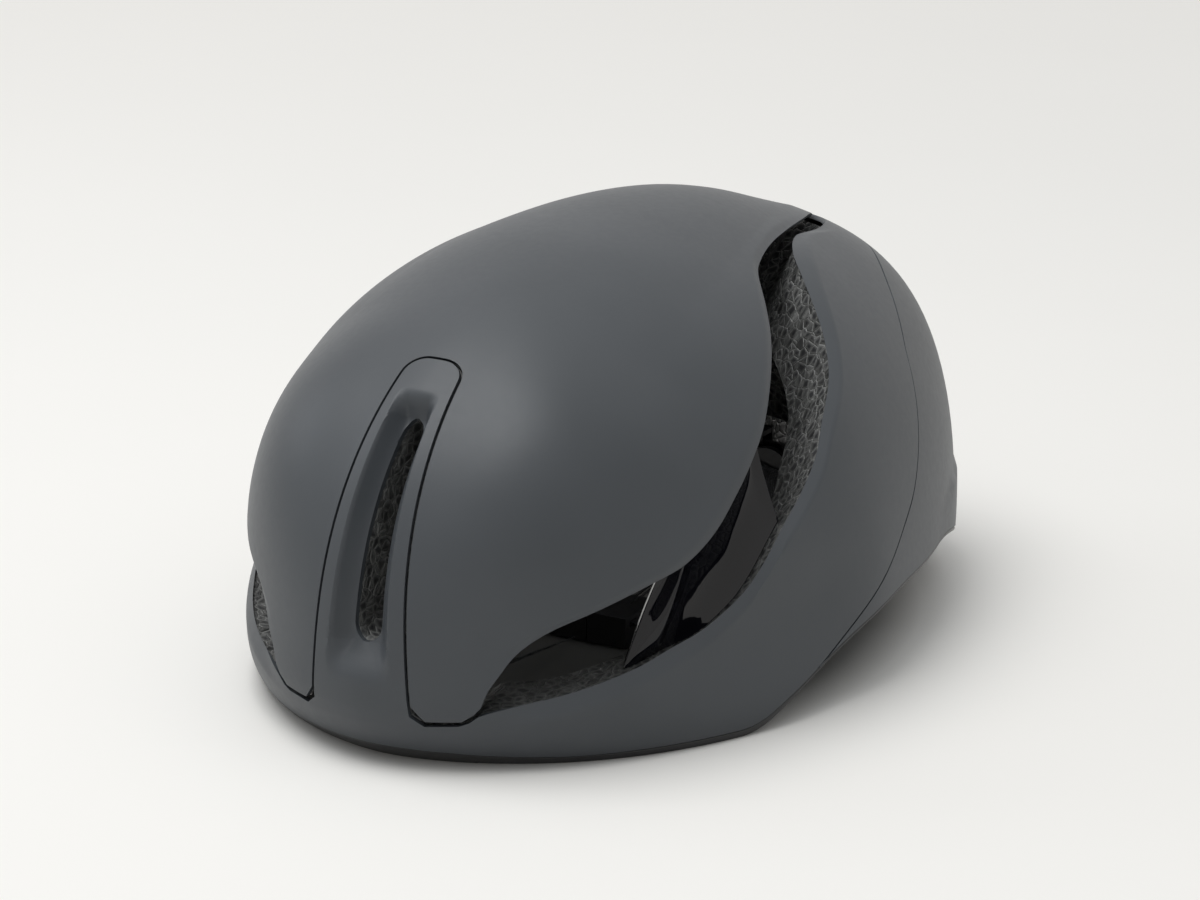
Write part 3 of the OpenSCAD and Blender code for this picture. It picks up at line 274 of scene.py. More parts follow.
@dataclass(frozen=True)
class HeadSpace:
    """Inner surface, in millimetres from the middle of the radial layout."""

    outer: OuterForm
    width: float = 156
    front: float = 114
    rear: float = 96
    rise: float = 81
    drop: float = 110
    plan_n: float = 2
    section_n: float = 2.4
    channel_depth: float = 6
    channel_half: float = 8
    channel_lean: float = 24
    channel_ends: tuple[float, ...] = (25, 15, 118, 15)

    def radius(self, d: Array) -> Array:
        """Distance from the middle to the head space's wall."""
        reach = np.where(d[..., 1] < 0, self.front, self.rear)
        rise = np.where(d[..., 2] >= 0, self.rise, self.drop)
        return superellipsoid(d, self.width / 2, reach, rise, self.plan_n, self.section_n)

    def wall(self, d: Array, grow: Array | float = 0.0) -> Array:
        """Points on the wall, or past it by grow."""
        return self.outer.centre + (self.radius(d) + grow)[..., None] * d

    def channel(self, pitch: Array, lean: Array) -> Array:
        """Depth of the air channels along the crown."""
        beside = bell((np.abs(lean) - self.channel_lean) / self.channel_half)
        across = bell(lean / self.channel_half) + beside
        return self.channel_depth * across * window(pitch, *self.channel_ends)

    def half(self, y: float, z: float) -> float:
        """Half width at a place given from the middle."""
        reach = self.front if y < 0 else self.rear
        rise = self.rise if z >= 0 else self.drop
        level = (1 - (abs(z) / rise) ** self.section_n) ** (self.plan_n / self.section_n)
        return self.width / 2 * math.sqrt(level - (abs(y) / reach) ** 2)

    def lift_at(self, turn: Array, z: Array) -> Array:
        """Lift at which the wall passes a height."""
        lift = np.full(np.shape(turn), LOW_LIFT)
        for _ in range(CORRECTIONS):
            r = self.radius(round_way(turn, lift))
            lift = np.degrees(np.arcsin(np.clip((z - self.outer.widest_z) / r, -1, 1)))
        return lift


@dataclass(frozen=True)
class Lines:
    """Seams, vent edges and the rim, as angles in degrees and heights in millimetres."""

    outer: OuterForm
    seam_gap: float = 0.95
    vent_edge: Knots = (
        (-4.05, 12.9), (-2.5, 15), (0, 16), (2.3, 17.4), (5, 19.1), (7.2, 21.3), (9.2, 24.1),
        (12.6, 29.9), (17.6, 36.7), (22.2, 41.5), (30.7, 45.4), (41.4, 47.2), (50.2, 47.6),
        (59.2, 47), (67.5, 45.1), (76.6, 41.8), (84, 38), (91, 33.1), (99.3, 26.6), (105.4, 23.6),
        (114.5, 19.9), (123.4, 16.5), (131.9, 12.9), (143, 6.6),
    )
    band_edge: Knots = (
        (0, -4.55), (13, -4.55), (15, -3.2), (19.7, -2.2), (24.5, -1.4), (29.6, -0.3), (36.7, 1.6),
        (41, 3.3), (47.4, 5.5), (53, 8.6), (57, 11.7), (64, 19.4), (70.3, 24.4), (78, 30.2),
        (84, 35.4), (95.4, 41.8), (104, 46.7), (114, 51.5), (125, 54.4), (138, 55.1), (151, 51.6),
        (158, 45), (166, 39.2), (172, 36.4), (180, 36.55),
    )
    rear_seam: Knots = (
        (66, -10.2), (70.5, -7.8), (84, -0.1), (95, 6.5), (102, 11.1), (108.5, 14.8), (115, 19.6),
        (121.4, 24.7), (127, 29.1), (131.6, 32.1), (145, 35.7), (153.6, 35.7), (165, 33.2), (180, 31.5),
    )
    tail_pitch: float = 142.97
    leg_pitch: float = -4.05
    tongue_pitch: float = 42.7
    tongue_foot_w: float = 34
    tongue_top_w: float = 20
    tongue_round: float = 7
    tongue_taper: tuple[float, float] = (-2, 42)
    trim_h: float = 2.5
    trim_front_h: float = 5.5
    trim_arch_h: float = 1.2
    trim_front_run: float = 30
    trim_arch_run: float = 12
    ear_arch_h: float = 28
    arch_start: float = 58.5
    arch_run: float = 48
    arch_soft: float = 0.14
    arch_fall: float = 124
    seam_below: float = -30
    vent_ends: tuple[float, ...] = (14, 8, 150, 14)
    small_gap: float = 0.3

    def tongue_lean(self, pitch: Array, grow: float) -> Array:
        """Lean of the seam round the tongue, widened or narrowed all round by grow."""
        corner, top = self.tongue_round + grow, self.tongue_pitch + self.outer.arc(grow)
        over = np.clip((pitch - top) / self.outer.arc(corner) + 1, 0, 1)
        start, run = self.tongue_taper
        half = mix(self.tongue_foot_w, self.tongue_top_w, (pitch - start) / run) / 2 + grow
        reach = self.outer.radius(over_way(pitch, 0.0 * pitch))
        return np.degrees(np.arcsin((half - corner * (1 - np.sqrt(1 - over * over))) / reach))

    def corner_pitches(self, grow: float, steps: int) -> Array:
        """Pitches that follow the tongue's upper corner evenly round its arc, ending at the top."""
        corner, top = self.tongue_round + grow, self.tongue_pitch + self.outer.arc(grow)
        angles = np.linspace(0, math.pi / 2, steps + 1)
        return top - self.outer.arc(corner) * (1 - np.sin(angles))

    def rim_z(self, turn: Array) -> Array:
        """Height of the rim's underside."""
        t = (np.abs(turn) - self.arch_start) / self.arch_run
        soft, early = self.arch_soft, np.clip(t + self.arch_soft / 2, 0, self.arch_soft)
        t = np.clip(np.where(t < soft / 2, early**2 / (2 * soft), t), 0, 1)
        fall = ease((np.abs(turn) - self.arch_fall) / self.arch_run)
        return self.ear_arch_h * (1 - (1 - t) ** 2) * (1 - fall)

    def trim_top(self, turn: Array) -> Array:
        """Height of the trim's upper edge."""
        flat = mix(self.trim_front_h, self.trim_h, ease(np.abs(turn) / self.trim_front_run))
        arched = ease((np.abs(turn) - self.arch_start) / self.trim_arch_run)
        return self.rim_z(turn) + mix(flat, self.trim_arch_h, arched)

    def body_low(self, turn: Array) -> Array:
        """Lower edge of the shells and the foam."""
        return self.trim_top(turn) + self.small_gap

    def seam_lift(self, turn: Array) -> Array:
        """Lift of the seam over the rear shell, far below the rim ahead of its tip."""
        tip = self.rear_seam[0][0]
        return follow(self.rear_seam, np.abs(turn)) + np.where(np.abs(turn) < tip, self.seam_below, 0)

    def side_vent(self, turn: Array) -> Array:
        """How far a turn lies inside the crescent vent, from 0 to 1."""
        return window(np.abs(turn), *self.vent_ends)


# Meshes


def object_from(
    name: str, points: Array, faces: Sequence[Sequence[int]], smooth: bool = True
) -> bpy.types.Object:
    """Makes an object from points in millimetres.

    Args:
        name: the object's name.
        points: an array of places.
        faces: corner numbers of each face.
        smooth: whether the faces are shaded smooth.

    Returns:
        The new object, at the origin.
    """
    name = name.replace(" ", "_")
    mesh = bpy.data.meshes.new(name)
    mesh.from_pydata((np.asarray(points) * MM).tolist(), [], [list(map(int, f)) for f in faces])
    mesh.validate()
    mesh.polygons.foreach_set("use_smooth", [smooth] * len(mesh.polygons))
    mesh.update()
    piece = bpy.data.objects.new(name, mesh)
    bpy.context.scene.collection.objects.link(piece)
    return piece


def signed_volume(points: Array, faces: Array) -> float:
    """Volume that four-cornered faces enclose, negative when they face inwards."""
    a, b, c, d = (points[faces[:, k]] for k in range(4))
    two = np.cross(a, b) * c + np.cross(a, c) * d
    return float(two.sum() / 6)


def wall(
    name: str, outer: Array, inner: Array, has: Optional[Array] = None, ring: bool = False
) -> bpy.types.Object:
    """Closed wall between two sheets of points.

    Args:
        name: the object's name.
        outer: rows and columns of points on one face.
        inner: the same on the other face.
        has: which cells exist, all of them if left out.
        ring: whether the last row joins the first.

    Returns:
        The wall, with its faces pointing outwards.
    """
    rows, cols = outer.shape[:2]
    cells = rows if ring else rows - 1
    has = np.ones((cells, cols - 1), bool) if has is None else has
    grid = np.arange(rows * cols).reshape(rows, cols)
    after = (np.arange(cells) + 1) % rows
    a, b = grid[:cells, :-1], grid[:cells, 1:]
    d, c = grid[after][:, :-1], grid[after][:, 1:]
    under = rows * cols
    blank = np.zeros((1, cols - 1), bool)
    before_has = np.roll(has, 1, 0) if ring else np.vstack([blank, has[:-1]])
    after_has = np.roll(has, -1, 0) if ring else np.vstack([has[1:], blank])
    side = np.zeros((cells, 1), bool)
    left_has, right_has = np.hstack([side, has[:, :-1]]), np.hstack([has[:, 1:], side])
    faces = [np.stack([a, b, c, d], -1)[has], np.stack([d, c, b, a], -1)[has] + under]
    for p, q, beside in ((a, b, before_has), (c, d, after_has), (d, a, left_has), (b, c, right_has)):
        edge = has & ~beside
        faces.append(np.stack([q, p, p + under, q + under], -1)[edge])
    faces = np.vstack(faces)
    points = np.concatenate([outer.reshape(-1, 3), inner.reshape(-1, 3)])
    used, faces = np.unique(faces, return_inverse=True)
    faces = faces.reshape(-1, 4)
    points = points[used]
    if signed_volume(points, faces) < 0:
        faces = faces[:, ::-1]
    return object_from(name, points, faces)


def round_edges(piece: bpy.types.Object, width: float, segments: int = 3, angle: float = 40) -> None:
    """Rounds a piece's sharp edges and evens its shading.

    Args:
        piece: the piece.
        width: width of the rounding, in millimetres.
        segments: faces across the rounding.
        angle: least angle between faces that counts as sharp, in degrees.
    """
    bevel = piece.modifiers.new("Rounded edges", "BEVEL")
    bevel.width = width * MM
    bevel.segments = segments
    bevel.limit_method = "ANGLE"
    bevel.angle_limit = math.radians(angle)
    bevel.use_clamp_overlap = True
    even = piece.modifiers.new("Even shading", "WEIGHTED_NORMAL")
    even.keep_sharp = True
    even.weight = 80


def even_steps(knots: Sequence[float], step: float) -> Array:
    """Places from the first knot to the last that include each knot, no further apart than step."""
    places = [np.array([knots[0]])]
    for a, b in zip(knots[:-1], knots[1:]):
        count = max(1, math.ceil((b - a) / step))
        places.append(np.linspace(a, b, count + 1)[1:])
    return np.concatenate(places)


def soft_corner(u: Array, v: Array, power: float = 4.0) -> tuple[Array, Array]:
    """Turns the square |u|, |v| <= 1 of a grid into one with round corners, fading out by 2.

    Args:
        u: places along one side.
        v: places along the other.
        power: squareness of the rounded square.

    Returns:
        The moved places.
    """
    far = np.maximum(np.maximum(np.abs(u), np.abs(v)), 1e-9)
    norm = (np.abs(u / far) ** power + np.abs(v / far) ** power) ** (1 / power)
    keep = np.clip(far - 1, 0, 1)
    scale = mix(1 / norm, 1.0, ease(keep))
    return u * scale, v * scale


# Finishes


class Shader:
    """A material under construction."""

    def __init__(self, name: str) -> None:
        """Starts a material with a Principled surface."""
        self.material = bpy.data.materials.new(name)
        self.material.use_nodes = True
        self.tree = self.material.node_tree
        self.surface = self.tree.nodes["Principled BSDF"]

    def node(self, kind: str, **settings: object) -> bpy.types.Node:
        """Adds a node and sets its properties."""
        made = self.tree.nodes.new(kind)
        for key, value in settings.items():
            setattr(made, key, value)
        return made

    def link(self, source: bpy.types.NodeSocket, target: bpy.types.NodeSocket) -> None:
        """Joins two sockets."""
        self.tree.links.new(source, target)

    def set(self, **values: object) -> None:
        """Sets the surface's own sockets, with spaces in their names written as underscores."""
        for key, value in values.items():
            self.surface.inputs[key.replace("_", " ")].default_value = value

    def place(self) -> bpy.types.NodeSocket:
        """Object coordinates, in metres."""
        return self.node("ShaderNodeTexCoord").outputs["Object"]

    def noise(self, scale: float, detail: float = 3.0, roughness: float = 0.5) -> bpy.types.NodeSocket:
        """Noise over object coordinates, scale in cycles a metre."""
        made = self.node("ShaderNodeTexNoise")
        made.inputs["Scale"].default_value = scale
        made.inputs["Detail"].default_value = detail
        made.inputs["Roughness"].default_value = roughness
        self.link(self.place(), made.inputs["Vector"])
        return made.outputs["Fac"]

    def ramp(
        self, source: bpy.types.NodeSocket, stops: Sequence[tuple[float, tuple]]
    ) -> bpy.types.NodeSocket:
        """Colour by value.

        Args:
            source: the value to read.
            stops: places from 0 to 1 with their colours.

        Returns:
            The colour socket.
        """
        made = self.node("ShaderNodeValToRGB")
        band = made.color_ramp
        while len(band.elements) < len(stops):
            band.elements.new(0.5)
        for element, (place, colour) in zip(band.elements, stops):
            element.position = place
            element.color = (*colour, 1.0)
        self.link(source, made.inputs["Fac"])
        return made.outputs["Color"]

    def remap(self, source: bpy.types.NodeSocket, low: float, high: float) -> bpy.types.NodeSocket:
        """Maps 0 to 1 onto low to high."""
        made = self.node("ShaderNodeMapRange")
        made.inputs["To Min"].default_value = low
        made.inputs["To Max"].default_value = high
        self.link(source, made.inputs["Value"])
        return made.outputs["Result"]

    def maths(
        self, kind: str, a: bpy.types.NodeSocket, b: bpy.types.NodeSocket | float
    ) -> bpy.types.NodeSocket:
        """A sum, product or the like of two values."""
        made = self.node("ShaderNodeMath", operation=kind)
        self.link(a, made.inputs[0])
        if isinstance(b, (int, float)):
            made.inputs[1].default_value = b
        else:
            self.link(b, made.inputs[1])
        return made.outputs[0]

    def grey(self, level: float) -> tuple[float, float, float]:
        """A neutral colour."""
        return (level, level, level)

    def bump(self, height: bpy.types.NodeSocket, depth: float, strength: float = 1.0) -> None:
        """Raises the surface by a height map.

        Args:
            height: the map, from 0 to 1.
            depth: its full height, in millimetres.
            strength: how strongly it shows.
        """
        made = self.node("ShaderNodeBump")
        made.inputs["Distance"].default_value = depth * MM
        made.inputs["Strength"].default_value = strength
        self.link(height, made.inputs["Height"])
        before = self.surface.inputs["Normal"]
        if before.is_linked:
            self.link(before.links[0].from_socket, made.inputs["Normal"])
        self.link(made.outputs["Normal"], before)


@dataclass(frozen=True)
class MattePaint:
    """Charcoal matte paint with a faint orange peel and a finer grain."""

    dark: tuple = (0.050, 0.056, 0.063)
    light: tuple = (0.062, 0.068, 0.076)
    roughness: tuple = (0.40, 0.50)

    def make(self) -> bpy.types.Material:
        """Builds the material."""
        s = Shader("Matte charcoal paint")
        broad = s.noise(18.0, 2.0)
        s.link(s.ramp(broad, ((0.3, self.dark), (0.75, self.light))), s.surface.inputs["Base Color"])
        s.link(s.remap(s.noise(420.0, 4.0), *self.roughness), s.surface.inputs["Roughness"])
        s.set(IOR=1.45)
        s.bump(s.noise(1400.0, 2.0), 0.012)
        s.bump(s.noise(260.0, 2.0), 0.010)
        return s.material


@dataclass(frozen=True)
class BeadFoam:
    """Moulded bead foam: flattened cells with pale borders and small glints."""

    cell: float = 3.0
    warp: float = 1.2
    core: tuple = (0.026, 0.026, 0.027)
    border: tuple = (0.13, 0.13, 0.125)

    def make(self) -> bpy.types.Material:
        """Builds the material."""
        s = Shader("Black bead foam")
        scale = 1 / (self.cell * MM)
        warp = s.node("ShaderNodeTexNoise")
        warp.inputs["Scale"].default_value = scale * 0.8
        s.link(s.place(), warp.inputs["Vector"])
        shift = s.node("ShaderNodeVectorMath", operation="MULTIPLY_ADD")
        s.link(warp.outputs["Color"], shift.inputs[0])
        shift.inputs[1].default_value = s.grey(self.warp * MM)
        s.link(s.place(), shift.inputs[2])
        edge = s.node("ShaderNodeTexVoronoi", feature="DISTANCE_TO_EDGE")
        cell = s.node("ShaderNodeTexVoronoi", feature="F1")
        for voronoi in (edge, cell):
            voronoi.inputs["Scale"].default_value = scale
            s.link(shift.outputs["Vector"], voronoi.inputs["Vector"])
        distance = edge.outputs["Distance"]
        rim = s.ramp(distance, ((0.0, self.border), (0.05, self.border), (0.32, self.core)))
        tone = s.remap(cell.outputs["Color"], 0.55, 1.9)
        tint = s.node("ShaderNodeMix", data_type="RGBA", blend_type="MULTIPLY")
        tint.inputs["Factor"].default_value = 1.0
        s.link(rim, tint.inputs["A"])
        grey = s.node("ShaderNodeCombineColor")
        for name in ("Red", "Green", "Blue"):
            s.link(tone, grey.inputs[name])
        s.link(grey.outputs["Color"], tint.inputs["B"])
        s.link(tint.outputs["Result"], s.surface.inputs["Base Color"])
        s.link(s.remap(cell.outputs["Color"], 0.28, 0.55), s.surface.inputs["Roughness"])
        s.set(IOR=1.5)
        pillow = s.ramp(distance, ((0.0, s.grey(0)), (0.10, s.grey(0.7)), (0.35, s.grey(1))))
        s.bump(pillow, 0.35)
        s.bump(s.noise(scale * 3, 3.0), 0.06)
        return s.material


@dataclass(frozen=True)
class GlossBlack:
    """High gloss black plastic with the faint waviness of a moulding."""

    colour: tuple = (0.004, 0.004, 0.006)
    light: tuple = (0.007, 0.007, 0.010)

    def make(self) -> bpy.types.Material:
        """Builds the material."""
        s = Shader("Gloss black")
        s.link(s.ramp(s.noise(60.0), ((0.2, self.colour), (0.9, self.light))), s.surface.inputs["Base Color"])
        s.link(s.remap(s.noise(900.0), 0.02, 0.05), s.surface.inputs["Roughness"])
        s.set(IOR=1.42)
        s.bump(s.noise(160.0, 2.0), 0.03)
        return s.material


@dataclass(frozen=True)
class SatinPlastic:
    """Moulded nylon with a spark-eroded grain."""

    name: str = "Satin black nylon"
    colour: tuple = (0.018, 0.018, 0.019)
    grain: float = 2600.0
    roughness: tuple = (0.38, 0.55)

    def make(self) -> bpy.types.Material:
        """Builds the material."""
        s = Shader(self.name)
        light = tuple(c * 1.5 for c in self.colour)
        s.link(s.ramp(s.noise(45.0), ((0.25, self.colour), (0.85, light))), s.surface.inputs["Base Color"])
        s.link(s.remap(s.noise(self.grain / 4), *self.roughness), s.surface.inputs["Roughness"])
        s.set(IOR=1.53)
        s.bump(s.noise(self.grain, 2.0), 0.02)
        return s.material


@dataclass(frozen=True)
class Knit:
    """Brushed knit over padding: rows of small loops under a soft sheen."""

    colour: tuple = (0.020, 0.020, 0.022)
    pitch: float = 0.9

    def make(self) -> bpy.types.Material:
        """Builds the material."""
        s = Shader("Black brushed knit")
        fuzz = s.noise(700.0, 5.0, 0.7)
        light = tuple(c * 2.6 for c in self.colour)
        s.link(s.ramp(fuzz, ((0.3, self.colour), (0.8, light))), s.surface.inputs["Base Color"])
        loops = s.node("ShaderNodeTexVoronoi", feature="F1")
        loops.inputs["Scale"].default_value = 1 / (self.pitch * MM)
        loops.inputs["Randomness"].default_value = 0.35
        s.link(s.place(), loops.inputs["Vector"])
        s.set(Roughness=0.92, Sheen_Weight=0.55, Sheen_Roughness=0.45)
        s.bump(loops.outputs["Distance"], 0.18)
        s.bump(fuzz, 0.10)
        return s.material


@dataclass(frozen=True)
class Weave:
    """Woven webbing: herringbone ribs that follow the strap's own map."""

    colour: tuple = (0.016, 0.016, 0.018)
    rib: float = 1.1
    threads: float = 1.6

    def make(self) -> bpy.types.Material:
        """Builds the material."""
        s = Shader("Black woven webbing")
        uv = s.node("ShaderNodeUVMap", uv_map="Strap")
        parts = s.node("ShaderNodeSeparateXYZ")
        s.link(uv.outputs["UV"], parts.inputs["Vector"])
        turns = 2 * math.pi / self.rib
        slant = s.maths("ABSOLUTE", parts.outputs["Y"], 0.0)
        along = s.maths("ADD", parts.outputs["X"], slant)
        ribs = s.maths("SINE", s.maths("MULTIPLY", along, turns), 0.0)
        threads = s.maths("SINE", s.maths("MULTIPLY", parts.outputs["Y"], turns * self.threads), 0.0)
        woven = s.remap(s.maths("MULTIPLY", ribs, threads), 0.0, 1.0)
        woven.node.inputs["From Min"].default_value = -1.0
        light = tuple(c * 2.4 for c in self.colour)
        s.link(s.ramp(woven, ((0.2, self.colour), (0.9, light))), s.surface.inputs["Base Color"])
        s.set(Roughness=0.78, Sheen_Weight=0.3, Sheen_Roughness=0.4)
        s.bump(woven, 0.16)
        s.bump(s.noise(3000.0, 3.0), 0.04)
        return s.material


@dataclass(frozen=True)
class BrushedSteel:
    """Bright steel with fine turning marks."""

    colour: tuple = (0.42, 0.43, 0.45)
    light: tuple = (0.60, 0.61, 0.63)

    def make(self) -> bpy.types.Material:
        """Builds the material."""
        s = Shader("Bright steel")
        tone = s.ramp(s.noise(300.0), ((0.2, self.colour), (0.9, self.light)))
        s.link(tone, s.surface.inputs["Base Color"])
        s.link(s.remap(s.noise(2400.0), 0.22, 0.36), s.surface.inputs["Roughness"])
        s.set(Metallic=1.0)
        s.bump(s.noise(3500.0, 1.0), 0.008)
        return s.material


class Finish(Enum):
    """The helmet's finishes."""

    SHELL = "shell"
    FOAM = "foam"
    BRIDGE = "bridge"
    TRIM = "trim"
    PAD = "pad"
    WEBBING = "webbing"
    FITTINGS = "fittings"
    HOOK = "hook_disc"
    STEEL = "steel"


class Wardrobe:
    """Makes each finish once and puts it on pieces."""

    def __init__(self) -> None:
        """Builds the finishes."""
        self.materials = {
            Finish.SHELL: MattePaint().make(),
            Finish.FOAM: BeadFoam().make(),
            Finish.BRIDGE: GlossBlack().make(),
            Finish.TRIM: SatinPlastic(
                "Satin black trim", (0.012, 0.012, 0.013), grain=1800.0, roughness=(0.32, 0.46)
            ).make(),
            Finish.PAD: Knit().make(),
            Finish.WEBBING: Weave().make(),
            Finish.FITTINGS: SatinPlastic().make(),
            Finish.HOOK: SatinPlastic(
                "Hook tape", (0.020, 0.020, 0.020), grain=900.0, roughness=(0.7, 0.9)
            ).make(),
            Finish.STEEL: BrushedSteel().make(),
        }

    def dress(self, piece: bpy.types.Object, finish: Finish) -> None:
        """Puts one finish on the whole piece."""
        piece.data.materials.clear()
        piece.data.materials.append(self.materials[finish])
        for face in piece.data.polygons:
            face.material_index = 0

    def repaint(self, node: bpy.types.Object, finish: Finish) -> None:
        """Puts a finish on a node of the frame, whose mesh stays as it is."""
        if not node.material_slots:
            node.data.materials.append(self.materials[finish])
        for place in node.material_slots:
            place.material = self.materials[finish]

    def fit(self, piece: bpy.types.Object, finish: Finish, body: str, *nodes: str) -> None:
        """Dresses a piece, hangs it on a body and lets it stand for nodes of the frame."""
        self.dress(piece, finish)
        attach(piece, body)
        if nodes:
            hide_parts(*nodes)
        LOG.info("%s stands for %s on %s", piece.name, ", ".join(nodes) or "nothing", body)


# Repeats made with Geometry Nodes


@dataclass(frozen=True)
class Stitching:
    """A row of stitches along a line, each a short rounded thread."""

    spacing: float = 2.0
    length: float = 1.5
    radius: float = 0.2

    def tree(self, material: bpy.types.Material) -> bpy.types.GeometryNodeTree:
        """Builds the node tree, with named inputs for its sizes."""
        tree = bpy.data.node_groups.new("Stitches", "GeometryNodeTree")
        face = tree.interface
        face.new_socket("Geometry", in_out="INPUT", socket_type="NodeSocketGeometry")
        for name, value in (("Spacing", self.spacing), ("Length", self.length), ("Radius", self.radius)):
            made = face.new_socket(name, in_out="INPUT", socket_type="NodeSocketFloat")
            made.default_value = value * MM
        face.new_socket("Geometry", in_out="OUTPUT", socket_type="NodeSocketGeometry")
        new = tree.nodes.new
        entry, leave = new("NodeGroupInput"), new("NodeGroupOutput")
        points = new("GeometryNodeCurveToPoints")
        points.mode = "LENGTH"
        thread = new("GeometryNodeMeshCylinder")
        thread.inputs["Vertices"].default_value = 6
        soft = new("GeometryNodeSetShadeSmooth")
        each = new("GeometryNodeInstanceOnPoints")
        real = new("GeometryNodeRealizeInstances")
        paint = new("GeometryNodeSetMaterial")
        paint.inputs["Material"].default_value = material
        link = tree.links.new
        link(entry.outputs["Geometry"], points.inputs["Curve"])
        link(entry.outputs["Spacing"], points.inputs["Length"])
        link(entry.outputs["Radius"], thread.inputs["Radius"])
        link(entry.outputs["Length"], thread.inputs["Depth"])
        link(thread.outputs["Mesh"], soft.inputs["Geometry"])
        link(soft.outputs["Geometry"], each.inputs["Instance"])
        link(points.outputs["Points"], each.inputs["Points"])
        link(points.outputs["Rotation"], each.inputs["Rotation"])
        link(each.outputs["Instances"], real.inputs["Geometry"])
        link(real.outputs["Geometry"], paint.inputs["Geometry"])
        link(paint.outputs["Geometry"], leave.inputs["Geometry"])
        return tree

    def sew(self, name: str, lines: Sequence[Array], material: bpy.types.Material) -> bpy.types.Object:
        """Sews stitches along lines of points.

        Args:
            name: the piece's name.
            lines: each an array of places in millimetres.
            material: the thread's material.

        Returns:
            The stitches as one plain mesh.
        """
        curve = bpy.data.curves.new(name + " path", "CURVE")
        curve.dimensions = "3D"
        for line in lines:
            spline = curve.splines.new("POLY")
            spline.points.add(len(line) - 1)
            for point, place in zip(spline.points, np.asarray(line) * MM):
                point.co = (*place, 1.0)
        path = bpy.data.objects.new(name + " path", curve)
        bpy.context.scene.collection.objects.link(path)
        modifier = path.modifiers.new("Stitches", "NODES")
        modifier.node_group = self.tree(material)
        bpy.context.view_layer.update()
        done = path.evaluated_get(bpy.context.evaluated_depsgraph_get())
        mesh = bpy.data.meshes.new_from_object(done)
        mesh.name = name
        bpy.data.objects.remove(path)
        piece = bpy.data.objects.new(name.replace(" ", "_"), mesh)
        bpy.context.scene.collection.objects.link(piece)
        return piece


# Shells


